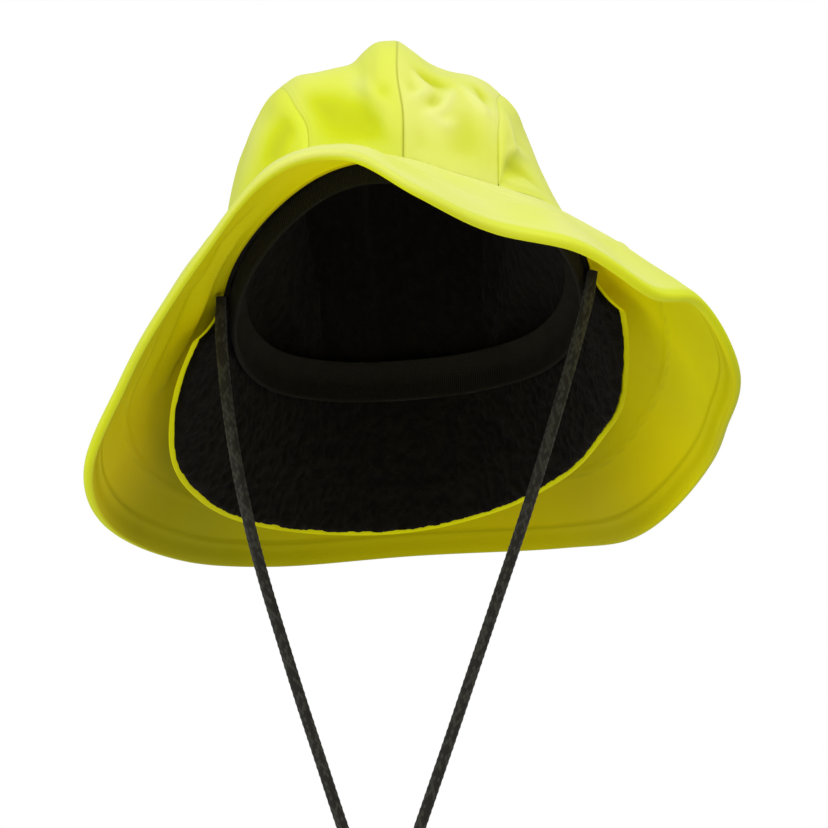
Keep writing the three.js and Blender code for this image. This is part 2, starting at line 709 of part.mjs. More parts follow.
// The lock is a rounded block with two upright bores that the runs of the cord pass through
function lockGeometry() {
  const halfWidth = lockWidth / 2 - lockBevel;
  const halfHeight = lockHeight / 2 - lockBevel;
  const corner = lockCorner - lockBevel;
  const outline = new THREE.Shape();
  outline.moveTo(halfWidth, -halfHeight + corner);
  outline.absarc(halfWidth - corner, halfHeight - corner, corner, 0, Math.PI / 2);
  outline.absarc(-halfWidth + corner, halfHeight - corner, corner, Math.PI / 2, Math.PI);
  outline.absarc(-halfWidth + corner, -halfHeight + corner, corner, Math.PI, 1.5 * Math.PI);
  outline.absarc(halfWidth - corner, -halfHeight + corner, corner, 1.5 * Math.PI, 2 * Math.PI);
  const block = new THREE.ExtrudeGeometry(outline, {
    depth: lockDepth - 2 * lockBevel,
    bevelThickness: lockBevel,
    bevelSize: lockBevel,
    bevelSegments: 2,
    curveSegments: 3,
  });
  block.translate(0, 0, -lockDepth / 2 + lockBevel);
  block.rotateX(Math.PI / 2);
  let solid = solidOf(block);
  const boreRadius = cordDiameter / 2 + lockClearance;
  for (const sign of [-1, 1]) {
    const bore = new THREE.CylinderGeometry(boreRadius, boreRadius, 2 * lockHeight, boreSides);
    bore.rotateX(Math.PI / 2);
    bore.translate((sign * (cordDiameter + lockWeb)) / 2, 0, 0);
    solid = solid.subtract(solidOf(bore));
  }
  return geometryOf(solid);
}

function clothMaterial(color, roughness) {
  return new THREE.MeshStandardMaterial({ color, roughness, metalness: 0, side: THREE.DoubleSide });
}

const colours = {
  yellowCloth: 0xdcec3c,
  blackFleece: 0x15120c,
  blackRib: 0x1a1812,
  blackCord: 0x34352e,
  blackPlastic: 0x1c1c1c,
};

function namedMesh(name, geometry, color, roughness) {
  const mesh = new THREE.Mesh(geometry, clothMaterial(color, roughness));
  mesh.name = name;
  return mesh;
}

const hat = new THREE.Group();
const sewnHat = new THREE.Group();
sewnHat.rotation.y = THREE.MathUtils.degToRad(hatLean);
hat.add(sewnHat);

for (const side of ["left", "right"]) {
  for (const kind of ["side", "top"]) {
    const geometry = panelGeometry(kind, side);
    sewnHat.add(namedMesh(`crown_${kind}_${side}`, geometry, colours.yellowCloth, 0.5));
  }
}
sewnHat.add(namedMesh("brim", brimGeometry(), colours.yellowCloth, 0.5));
sewnHat.add(namedMesh("headband", bandGeometry(), colours.blackRib, 0.9));
sewnHat.add(namedMesh("crown_lining", liningGeometry(), colours.blackFleece, 1));
const shell = flapLayer(shellDepth, clothWall, 0);
const fleece = flapLayer(fleeceDepth, fleeceWall, fleeceSetback);
sewnHat.add(namedMesh("neck_flap_shell", shell, colours.yellowCloth, 0.5));
sewnHat.add(namedMesh("neck_flap_fleece", fleece, colours.blackFleece, 1));

hat.add(namedMesh("chin_cord", cordGeometry(), colours.blackCord, 0.8));
const lock = namedMesh("cord_lock", lockGeometry(), colours.blackPlastic, 0.4);
lock.position.set(lockPlace.x, lockPlace.y, lockPlace.z);
hat.add(lock);

export default hat;
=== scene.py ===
import itertools
import math

import bmesh
import bpy
import numpy as np
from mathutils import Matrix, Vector


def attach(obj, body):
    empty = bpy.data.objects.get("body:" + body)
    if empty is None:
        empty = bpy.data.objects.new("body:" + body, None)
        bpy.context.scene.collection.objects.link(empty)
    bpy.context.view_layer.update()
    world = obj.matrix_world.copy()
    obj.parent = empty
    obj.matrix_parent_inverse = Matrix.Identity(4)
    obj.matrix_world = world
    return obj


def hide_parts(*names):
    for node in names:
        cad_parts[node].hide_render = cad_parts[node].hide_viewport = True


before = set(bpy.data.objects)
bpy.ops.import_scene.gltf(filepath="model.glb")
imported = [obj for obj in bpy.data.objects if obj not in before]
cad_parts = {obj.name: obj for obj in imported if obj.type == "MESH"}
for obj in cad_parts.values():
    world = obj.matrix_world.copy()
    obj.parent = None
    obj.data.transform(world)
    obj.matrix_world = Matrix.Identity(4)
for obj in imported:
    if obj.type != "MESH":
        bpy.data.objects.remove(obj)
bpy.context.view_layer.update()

print("frame loaded:", ", ".join(sorted(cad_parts)))

# The hat's own sizes in metres, angles in degrees: azimuth 0 is the front, 90 the right, 180 the back
hat = {
    "halfWidth": 0.089, "halfLength": 0.111,  # head opening
    "rimRise": 0.042, "crownHeight": 0.112,
    "shoulderHeight": 0.093, "shoulderHalfWidth": 0.053, "shoulderStart": 28,
    "sideBulge": 0.010, "roofHollow": 0.004,
    "cloth": 0.0012, "gap": 0.0003,  # the cloth's wall, and the gap between two sewn pieces
    "lean": -4.5,  # worn askew, right side higher
}

# height of the rim round the head, as a share of its rise
rim = {
    "azimuth": [0, 15, 30, 50, 72, 90, 120, 150, 180, 210, 240, 270, 300, 330, 345],
    "height": [
        0.885, 0.7, 0.565, 0.455, 0.14, -0.19, -0.47, -0.53, -0.53, -0.53, -0.47, -0.19, 0.33, 0.81, 0.93,
    ],
}


# Plain shape maths on whole grids

def curveBetween(s, start, end, slopeIn, slopeOut):
    # a cubic from start to end that leaves and arrives with the given slopes
    near = (2 * s**3 - 3 * s**2 + 1) * start + (s**3 - 2 * s**2 + s) * slopeIn
    return near + (3 * s**2 - 2 * s**3) * end + (s**3 - s**2) * slopeOut


def tableAt(table, key, at, column, period=None):
    # a smooth curve through the rows of a table, which closes on itself when it has a period
    keys = np.array(table[key], float)
    values = np.array(table[column], float)
    at = np.asarray(at, float)
    if period:
        at = (at - keys[0]) % period + keys[0]
        keys = np.concatenate([keys[-1:] - period, keys, keys[:2] + period])
        values = np.concatenate([values[-1:], values, values[:2]])
    else:
        keys = np.concatenate([keys[:1], keys, keys[-1:]])
        values = np.concatenate([values[:1], values, values[-1:]])
    k = np.clip(np.searchsorted(keys, at, side="right") - 1, 1, len(keys) - 3)
    k0, k1, k2, k3 = (keys[k + step] for step in (-1, 0, 1, 2))
    a, b, c, d = (values[k + step] for step in (-1, 0, 1, 2))
    s = (at - k1) / (k2 - k1)
    slopeIn = (c - a) / (k2 - k0) * (k2 - k1)
    slopeOut = (d - b) / (k3 - k1) * (k2 - k1)
    return curveBetween(s, b, c, slopeIn, slopeOut)


def unit(vectors):
    return vectors / np.maximum(np.linalg.norm(vectors, axis=-1, keepdims=True), 1e-12)


def stack(x, y, z):
    return np.stack(np.broadcast_arrays(x, y, z), axis=-1).astype(float)


def smoothStep(low, high, value):
    share = np.clip((value - low) / (high - low), 0, 1)
    return share * share * (3 - 2 * share)


def bell(distance, spread):
    return np.exp(-((distance / spread) ** 2))


def fadeToEnds(share, power):
    return np.maximum(np.sin(math.pi * share), 0) ** power


def softNoise(points, size, seed):
    # smooth lumps between -1 and 1, about one size across
    place = points / size
    cell = np.floor(place).astype(int)
    within = place - cell
    fade = within**3 * (within * (within * 6 - 15) + 10)
    lumps = np.random.default_rng(seed).random(4096) * 2 - 1
    total = np.zeros(points.shape[:-1])
    for corner in itertools.product((0, 1), repeat=3):
        at = cell + np.array(corner)
        spot = (at[..., 0] * 73856093 ^ at[..., 1] * 19349663 ^ at[..., 2] * 83492791) % 4096
        total += lumps[spot] * np.prod(np.where(np.array(corner) == 1, fade, 1 - fade), axis=-1)
    return total


def layeredNoise(points, layers):
    # layers of lumps, each with its height, size and seed
    return sum(height * softNoise(points, size, seed) for height, size, seed in layers)


def mottled(points, size, seed):
    # between about 0.85 and 1.15, to break up an even tone
    return 0.85 + 0.3 * softNoise(points, size, seed)


def outward(azimuth, swing=0.0):
    # the level direction away from the head, turned by the swing
    a = np.radians(azimuth)
    turn = np.radians(swing)
    level = unit(stack(np.sin(a) / hat["halfWidth"], -np.cos(a) / hat["halfLength"], 0))
    x = level[..., 0] * np.cos(turn) - level[..., 1] * np.sin(turn)
    y = level[..., 0] * np.sin(turn) + level[..., 1] * np.cos(turn)
    return stack(x, y, 0)


def rimPoint(azimuth, inset=0.0, rise=0.0):
    # where the crown meets the brim
    a = np.radians(azimuth)
    height = hat["rimRise"] * tableAt(rim, "azimuth", azimuth, "height", 360) + rise
    point = stack(hat["halfWidth"] * np.sin(a), -hat["halfLength"] * np.cos(a), height)
    return point - outward(azimuth) * np.asarray(inset)[..., None]


def worn(points):
    # tips the upright hat askew
    turn = math.radians(hat["lean"])
    x, y, z = points[..., 0], points[..., 1], points[..., 2]
    return stack(x * math.cos(turn) + z * math.sin(turn), y, z * math.cos(turn) - x * math.sin(turn))


def edgeWays(grid, axis):
    # how far each point lies from the first and from the last line of the grid, along the cloth
    strides = np.linalg.norm(np.diff(grid, axis=axis), axis=-1)
    start = np.zeros_like(strides.take([0], axis=axis))
    way = np.concatenate([start, np.cumsum(strides, axis=axis)], axis=axis)
    return way, way.take([-1], axis=axis) - way


def eased(count, share=0.5):
    # places from 0 to 1 that lie closer together near both ends
    even = np.linspace(0, 1, count)
    return (1 - share) * even + share * (0.5 - 0.5 * np.cos(math.pi * even))


# Meshes from grids of points

def faceRows(*corners):
    return np.stack(np.broadcast_arrays(*corners), axis=-1)


def gridFaces(rows, columns, closedRows, closedColumns):
    i = np.arange(rows if closedRows else rows - 1)[:, None]
    j = np.arange(columns if closedColumns else columns - 1)[None, :]
    ni, nj = (i + 1) % rows, (j + 1) % columns
    faces = faceRows(i * columns + j, ni * columns + j, ni * columns + nj, i * columns + nj)
    return faces.reshape(-1, 4)


def link(name, data):
    holder = bpy.data.objects.new(name, data)
    bpy.context.scene.collection.objects.link(holder)
    return holder


def smoothMesh(name, points, faces, tone=None):
    mesh = bpy.data.meshes.new(name)
    mesh.from_pydata(points, [], faces)
    mesh.validate()
    mesh.polygons.foreach_set("use_smooth", [True] * len(mesh.polygons))
    if tone is not None:  # three shares for the finish, such as how far inside or how dark a point is
        layer = mesh.color_attributes.new("tone", "FLOAT_COLOR", "POINT")
        rgba = np.concatenate([tone, np.ones((len(tone), 1))], axis=1)
        layer.data.foreach_set("color", rgba.ravel())
    return mesh


def closedPiece(name, points, faces, tone, sharpAngle):
    # turned to face outwards, whichever way its grid runs
    a, b, c, d = (points[faces[:, k]] for k in range(4))
    volume = np.sum(np.cross(a, b) * c) + np.sum(np.cross(a, c) * d)
    if volume < 0:
        faces = faces[:, ::-1]
    mesh = smoothMesh(name, points.tolist(), faces.tolist(), tone)
    mesh.set_sharp_from_angle(angle=math.radians(sharpAngle))
    piece = link(name, mesh)
    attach(piece, "root")
    return piece


def wallPiece(name, outer, inner, outerTone, innerTone, sharpAngle):
    # a cloth wall between two grids, closed along its four edges
    rows, columns = outer.shape[:2]
    count = rows * columns
    first = gridFaces(rows, columns, False, False)
    faces = [first, first[:, ::-1] + count]
    i, j = np.arange(rows - 1), np.arange(columns - 1)
    for here, step, way in (
        (i * columns, columns, 1), ((i + 1) * columns - 1, columns, -1),
        (j, 1, -1), ((rows - 1) * columns + j, 1, 1),
    ):
        faces.append(faceRows(here, count + here, count + here + step, here + step)[:, ::way])
    points = np.concatenate([outer.reshape(-1, 3), inner.reshape(-1, 3)])
    tone = np.concatenate([outerTone.reshape(-1, 3), innerTone.reshape(-1, 3)])
    return closedPiece(name, points, np.concatenate(faces), tone, sharpAngle)


def ringPiece(name, loops, tone, sharpAngle):
    # sections that close on themselves, all the way round
    rows, columns = loops.shape[:2]
    faces = gridFaces(rows, columns, True, True)
    return closedPiece(name, loops.reshape(-1, 3), faces, tone.reshape(-1, 3), sharpAngle)


# Node boards

class Wire:
    def __init__(self, board, socket):
        self.board = board
        self.socket = socket

    def other(self, output):
        return Wire(self.board, self.socket.node.outputs[output])

    def maths(self, operation, first, second):
        return self.board.add("ShaderNodeMath", {"operation": operation}, {0: first, 1: second})

    def __add__(self, other):
        return self.maths("ADD", self, other)

    def __radd__(self, other):
        return self.maths("ADD", other, self)

    def __sub__(self, other):
        return self.maths("SUBTRACT", self, other)

    def __rsub__(self, other):
        return self.maths("SUBTRACT", other, self)

    def __mul__(self, other):
        return self.maths("MULTIPLY", self, other)

    def __rmul__(self, other):
        return self.maths("MULTIPLY", other, self)


class Board:
    def __init__(self, tree):
        self.tree = tree
        tree.nodes.clear()

    def add(self, kind, settings=None, inputs=None, output=0):
        node = self.tree.nodes.new(kind)
        for name, value in (settings or {}).items():
            if name == "stops":
                self.fillRamp(node.color_ramp, value)
            else:
                setattr(node, name, value)
        for name, value in (inputs or {}).items():
            if isinstance(value, Wire):
                self.tree.links.new(value.socket, node.inputs[name])
            else:
                node.inputs[name].default_value = value
        return Wire(self, node.outputs[output]) if node.outputs else node

    def fillRamp(self, ramp, stops):
        while len(ramp.elements) < len(stops):
            ramp.elements.new(1)
        for element, (place, colour) in zip(ramp.elements, stops):
            element.position = place
            element.color = (*colour, 1)

    def mixColour(self, share, first, second, blend="MIX"):
        first, second = (value if isinstance(value, Wire) else (*value, 1) for value in (first, second))
        settings = {"data_type": "RGBA", "blend_type": blend}
        return self.add("ShaderNodeMix", settings, {0: share, 6: first, 7: second}, 2)

    def place(self):
        return self.add("ShaderNodeTexCoord", None, None, "Object")

    def noise(self, scale, detail=3.0, roughness=0.5, distortion=0.0):
        inputs = {"Vector": self.place(), "Scale": scale, "Detail": detail, "Roughness": roughness}
        return self.add("ShaderNodeTexNoise", None, {**inputs, "Distortion": distortion}, "Fac")

    def bump(self, height, strength, distance, under=None):
        inputs = {"Height": height, "Strength": strength, "Distance": distance}
        if under:
            inputs["Normal"] = under
        return self.add("ShaderNodeBump", None, inputs)

    def tone(self):
        colour = self.add("ShaderNodeAttribute", {"attribute_name": "tone"}, None, "Color")
        parts = self.add("ShaderNodeSeparateColor", None, {"Color": colour}, "Red")
        return parts, parts.other("Green"), parts.other("Blue")


def newFinish(name, build, settings):
    material = bpy.data.materials.new(name)
    material.use_nodes = True
    board = Board(material.node_tree)
    sockets = build(board, settings)
    shader = board.add("ShaderNodeBsdfPrincipled", None, sockets)
    board.add("ShaderNodeOutputMaterial", None, {"Surface": shader})
    return material


def wear(piece, material):
    piece.data.materials.append(material)
    return piece


# Camera

camera = {
    "target": (0.0040, 0.0099, -0.0567),
    "azimuth": -1.0, "elevation": -10.0,  # the photo looks up at the hat a little
    "distance": 1.6, "lens": 147.4, "sensor": 36, "clipEnd": 60,
}


def makeCamera():
    data = bpy.data.cameras.new("view")
    data.lens = camera["lens"]
    data.sensor_width = camera["sensor"]
    data.clip_end = camera["clipEnd"]
    holder = link("view", data)
    azimuth, elevation = math.radians(camera["azimuth"]), math.radians(camera["elevation"])
    back = Vector((
        math.sin(azimuth) * math.cos(elevation),
        -math.cos(azimuth) * math.cos(elevation),
        math.sin(elevation),
    ))
    target = Vector(camera["target"])
    holder.location = target + back * camera["distance"]
    holder.rotation_euler = (-back).to_track_quat("-Z", "Y").to_euler()
    bpy.context.scene.camera = holder


makeCamera()
print("camera set")

# Chin cord: a braided cord from the left temple, down through its lock, round a small loop and up again

cord = {
    "route": [
        (-0.086, -0.029, -0.009), (-0.086, -0.0295, -0.022), (-0.0845, -0.030, -0.042),
        (-0.0815, -0.0305, -0.066), (-0.0775, -0.031, -0.090), (-0.072, -0.0315, -0.115),
        (-0.065, -0.032, -0.141), (-0.057, -0.032, -0.167), (-0.0485, -0.0325, -0.194),
        (-0.0395, -0.0325, -0.221), (-0.0305, -0.033, -0.248), (-0.0225, -0.033, -0.271),
        (-0.0178, -0.033, -0.286), (-0.0164, -0.033, -0.295), (-0.0164, -0.033, -0.3055),
        (-0.0164, -0.033, -0.316), (-0.0172, -0.033, -0.321), (-0.0196, -0.033, -0.327),
        (-0.022, -0.033, -0.333), (-0.0207, -0.033, -0.338), (-0.017, -0.033, -0.3417),
        (-0.012, -0.033, -0.343), (-0.007, -0.033, -0.3417), (-0.0033, -0.033, -0.338),
        (-0.002, -0.033, -0.333), (-0.0044, -0.033, -0.327), (-0.0068, -0.033, -0.321),
        (-0.0076, -0.033, -0.316), (-0.0076, -0.033, -0.3055), (-0.0076, -0.033, -0.295),
        (-0.0054, -0.033, -0.286), (0.001, -0.033, -0.267), (0.010, -0.0325, -0.241),
        (0.020, -0.0325, -0.212), (0.0305, -0.032, -0.181), (0.041, -0.032, -0.150),
        (0.0515, -0.0315, -0.119), (0.0615, -0.031, -0.088), (0.0705, -0.0305, -0.058),
        (0.0785, -0.030, -0.030), (0.084, -0.0295, -0.009), (0.0864, -0.029, 0.004),
    ],
    "diameter": 0.005,
    "ringStep": 0.00045, "sides": 32, "curveSteps": 24,
    "carriers": 8, "strandPitch": 0.0034, "relief": 0.00042,  # strands each way, and their spacing
    "sink": 0.4, "yarnRelief": 0.08,  # shares of the relief
    "plainEnd": 0.014,  # over which the braid flattens out at either end
}


def smoothRoute(points, step):
    # a centripetal curve through the points, then even steps along it
    points = np.array(points)
    ends = [2 * points[0] - points[1], *points, 2 * points[-1] - points[-2]]
    line = []
    for p0, p1, p2, p3 in zip(ends, ends[1:], ends[2:], ends[3:]):
        d0, d1, d2 = (math.sqrt(np.linalg.norm(b - a)) for a, b in ((p0, p1), (p1, p2), (p2, p3)))
        tangentIn = ((p1 - p0) / d0 - (p2 - p0) / (d0 + d1) + (p2 - p1) / d1) * d1
        tangentOut = ((p2 - p1) / d1 - (p3 - p1) / (d1 + d2) + (p3 - p2) / d2) * d1
        for s in np.linspace(0, 1, cord["curveSteps"], endpoint=False):
            line.append(curveBetween(s, p1, p2, tangentIn, tangentOut))
    line = np.array([*line, points[-1]])
    way = np.concatenate([[0], np.cumsum(np.linalg.norm(np.diff(line, axis=0), axis=1))])
    even = np.linspace(0, way[-1], int(way[-1] / step) + 1)
    return stack(*(np.interp(even, way, line[:, k]) for k in range(3))), way[-1]


def braid(turn, way):
    # two sets of strands that pass over and under each other, with three yarns in each strand
    # and a chance for each crossing; turn runs from 0 to 1 round the cord
    a = cord["carriers"] * turn + way / cord["strandPitch"]
    b = cord["carriers"] * turn - way / cord["strandPitch"]
    ia, ib = np.floor(a), np.floor(b)
    roundA = np.sqrt(np.maximum(1 - (2 * (a - ia) - 1) ** 2, 0))
    roundB = np.sqrt(np.maximum(1 - (2 * (b - ib) - 1) ** 2, 0))
    overA = 0.5 + 0.5 * np.cos(math.pi * (ia + b - 0.5))
    overB = 0.5 - 0.5 * np.cos(math.pi * (ib + a - 0.5))
    highA = roundA * (0.35 + 0.65 * overA)
    highB = roundB * (0.35 + 0.65 * overB)
    onTop = highA > highB
    yarns = np.where(onTop, np.sin(6 * math.pi * (a - ia)), np.sin(6 * math.pi * (b - ib)))
    chance = np.abs(np.sin(ia * 12.9898 + ib * 78.233) * 43758.5453) % 1
    return np.maximum(highA, highB), 0.5 + 0.5 * yarns, chance


def makeCord():
    centres, length = smoothRoute(cord["route"], cord["ringStep"])
    tangents = unit(np.gradient(centres, axis=0))
    side = unit(np.cross(tangents[0], [0, 1, 0]))
    sides = []
    for tangent in tangents:
        side = unit(side - tangent * np.dot(side, tangent))
        sides.append(side)
    sides = np.array(sides)
    across = np.cross(tangents, sides)
    turn = np.arange(cord["sides"]) / cord["sides"]
    way = np.arange(len(centres))[:, None] * (length / (len(centres) - 1))
    height, yarns, chance = braid(turn[None, :], way)
    height = height * smoothStep(0, cord["plainEnd"], way) * smoothStep(0, cord["plainEnd"], length - way)
    relief = cord["relief"]
    radius = cord["diameter"] / 2 - relief * cord["sink"] + relief * (height + cord["yarnRelief"] * yarns)
    angle = 2 * math.pi * turn
    ring = np.cos(angle)[None, :, None] * sides[:, None] + np.sin(angle)[None, :, None] * across[:, None]
    points = centres[:, None] + ring * radius[..., None]
    rows, columns = points.shape[:2]
    tone = np.stack([height, yarns, chance], axis=-1).reshape(-1, 3)
    points = np.concatenate([points.reshape(-1, 3), centres[:1], centres[-1:]])
    tone = np.concatenate([tone, tone[:1], tone[-1:]])
    around = gridFaces(rows, columns, False, True)[:, ::-1]
    j = np.arange(columns)
    nj = (j + 1) % columns
    last, tip = (rows - 1) * columns, rows * columns
    start, end = faceRows(j, nj, tip), faceRows(last + nj, last + j, tip + 1)
    faces = around.tolist() + start.tolist() + end.tolist()
    mesh = smoothMesh("chin_cord_braid", points.tolist(), faces, tone)
    piece = link("chin_cord_braid", mesh)
    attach(piece, "root")
    return piece, centres, length


def cordFinish(board, look):
    height, yarns, chance = board.tone()
    deep, mid, pale = look["deep"], look["mid"], look["pale"]
    # darker between the strands, lighter on their crests: painted shade in the braid's hollows
    ground = board.mixColour(height, deep, mid)
    flecks = board.add("ShaderNodeMath", {"operation": "GREATER_THAN"}, {0: chance, 1: look["fleckShare"]})
    thread = board.mixColour(flecks * height * look["fleckStrength"], ground, pale)
    fuzz = board.noise(*look["fuzz"])
    colour = board.mixColour(fuzz * look["fuzzShade"], thread, deep)
    relief = yarns * look["yarnRelief"] + fuzz * look["fuzzRelief"]
    return {
        "Base Color": colour, "Roughness": 0.82, "Specular IOR Level": 0.25,
        "Sheen Weight": 0.08, "Sheen Roughness": 0.5,
        "Normal": board.bump(relief, *look["bump"]),
    }


cordLook = {
    "deep": (0.004, 0.0037, 0.003), "mid": (0.02, 0.019, 0.015), "pale": (0.07, 0.072, 0.06),
    "fleckShare": 0.5, "fleckStrength": 0.6,  # how few crossings are pale, and how pale
    "fuzz": (2600, 3.0, 0.6), "fuzzShade": 0.5,  # scale, detail and roughness, and how much it darkens
    "yarnRelief": 0.6, "fuzzRelief": 0.8, "bump": (0.5, 0.00012),  # strength and distance
}

chinCord, cordCentres, cordLength = makeCord()
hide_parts("chin_cord")
wear(chinCord, newFinish("braided_cord", cordFinish, cordLook))
print("chin cord made, length", round(cordLength, 3), "m")

# Cord lock: a rounded block with two flared bores

lock = {
    "centre": (-0.012, -0.033, -0.3055),
    "width": 0.021, "height": 0.015, "depth": 0.011,
    "squareness": 0.32,  # 1 is round, nearer to 0 is a sharper block
    "bore": 0.0029, "mouth": 0.0038, "mouthDepth": 0.0022, "mouthSteps": 5, "pitch": 0.0088,
    "gripCount": 6, "gripDepth": 0.00035,
    "rows": 96, "columns": 128, "flatTop": 0.02, "boreSides": 40,
    "past": (0.002, 0.0006),  # how far the cutter reaches past the block, and how much wider it gets there
}


def lockBody():
    rows, columns, power = lock["rows"], lock["columns"], lock["squareness"]
    polar = np.linspace(lock["flatTop"], math.pi - lock["flatTop"], rows)[:, None]
    around = np.linspace(0, 2 * math.pi, columns, endpoint=False)[None, :]

    def squared(value, power):
        return np.sign(value) * np.abs(value) ** power

    x = squared(np.sin(polar), power) * squared(np.cos(around), power)
    y = squared(np.sin(polar), power) * squared(np.sin(around), power * 1.5)
    z = squared(np.cos(polar), power) * np.ones_like(around)
    grip = 0.5 - 0.5 * np.cos(2 * math.pi * lock["gripCount"] * z * 0.5)
    onSide = smoothStep(0.9, 0.99, np.abs(x)) * smoothStep(0.85, 0.6, np.abs(z))
    half = np.array([lock["width"], lock["depth"], lock["height"]]) / 2
    points = np.stack([x, y, z], axis=-1) * half
    points[..., 0] -= np.sign(x) * lock["gripDepth"] * grip * onSide
    points = points + np.array(lock["centre"])
    faces = gridFaces(rows, columns, False, True).tolist()
    top = [*reversed(range(columns))]
    bottom = [(rows - 1) * columns + k for k in range(columns)]
    mesh = smoothMesh("cord_lock_body", points.reshape(-1, 3).tolist(), faces + [top, bottom])
    return link("cord_lock_body", mesh)


def boreCutter(offset):
    # a turned profile that opens towards both mouths
    half = lock["height"] / 2
    pastDepth, pastFlare = lock["past"]
    profile = [(lock["mouth"] + pastFlare, -half - pastDepth), (lock["mouth"], -half)]
    for k in range(lock["mouthSteps"]):
        share = (k + 1) / lock["mouthSteps"]
        radius = lock["mouth"] - (lock["mouth"] - lock["bore"]) * math.sin(share * math.pi / 2)
        profile.append((radius, -half + lock["mouthDepth"] * share))
    profile = profile + [(radius, -z) for radius, z in reversed(profile)]
    turns = lock["boreSides"]
    angle = np.linspace(0, 2 * math.pi, turns, endpoint=False)
    centre = np.array(lock["centre"]) + np.array([offset, 0, 0])
    points = [
        [centre[0] + radius * math.cos(a), centre[1] + radius * math.sin(a), centre[2] + z]
        for radius, z in profile for a in angle
    ]
    faces = gridFaces(len(profile), turns, False, True).tolist()
    last = (len(profile) - 1) * turns
    faces.append(list(range(turns)))
    faces.append([last + k for k in reversed(range(turns))])
    return link("bore", smoothMesh("bore", points, faces))


def fixNormals(mesh):
    shape = bmesh.new()
    shape.from_mesh(mesh)
    bmesh.ops.recalc_face_normals(shape, faces=shape.faces)
    shape.to_mesh(mesh)
    shape.free()


def makeLock():
    body = lockBody()
    fixNormals(body.data)
    for sign in (-1, 1):
        cutter = boreCutter(sign * lock["pitch"] / 2)
        fixNormals(cutter.data)
        cut = body.modifiers.new("bore", "BOOLEAN")
        cut.operation = "DIFFERENCE"
        cut.solver = "EXACT"
        cut.object = cutter
        bpy.context.view_layer.update()
        graph = bpy.context.evaluated_depsgraph_get()
        made = bpy.data.meshes.new_from_object(body.evaluated_get(graph))
        body.modifiers.clear()
        body.data = made
        bpy.data.objects.remove(cutter)
    body.data.name = "cord_lock_body"
    body.data.polygons.foreach_set("use_smooth", [True] * len(body.data.polygons))
    body.data.set_sharp_from_angle(angle=math.radians(40))
    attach(body, "root")
    return body


def plasticFinish(board, look):
    grain = board.noise(*look["grain"])
    smears = board.noise(*look["smears"])
    return {
        "Base Color": board.mixColour(smears * look["smearShare"], look["deep"], look["pale"]),
        "Roughness": 0.38 + 0.18 * smears,
        "Normal": board.bump(grain, *look["bump"]),
    }


plasticLook = {
    "deep": (0.014, 0.014, 0.014), "pale": (0.03, 0.03, 0.029),
    "grain": (2200, 2.0, 0.5), "smears": (160, 4.0, 0.6), "smearShare": 0.6, "bump": (0.25, 0.0001),
}

cordLock = makeLock()
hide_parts("cord_lock")
wear(cordLock, newFinish("lock_plastic", plasticFinish, plasticLook))
print("cord lock made")

# Crown: four panels, whose edges turn down into the seams

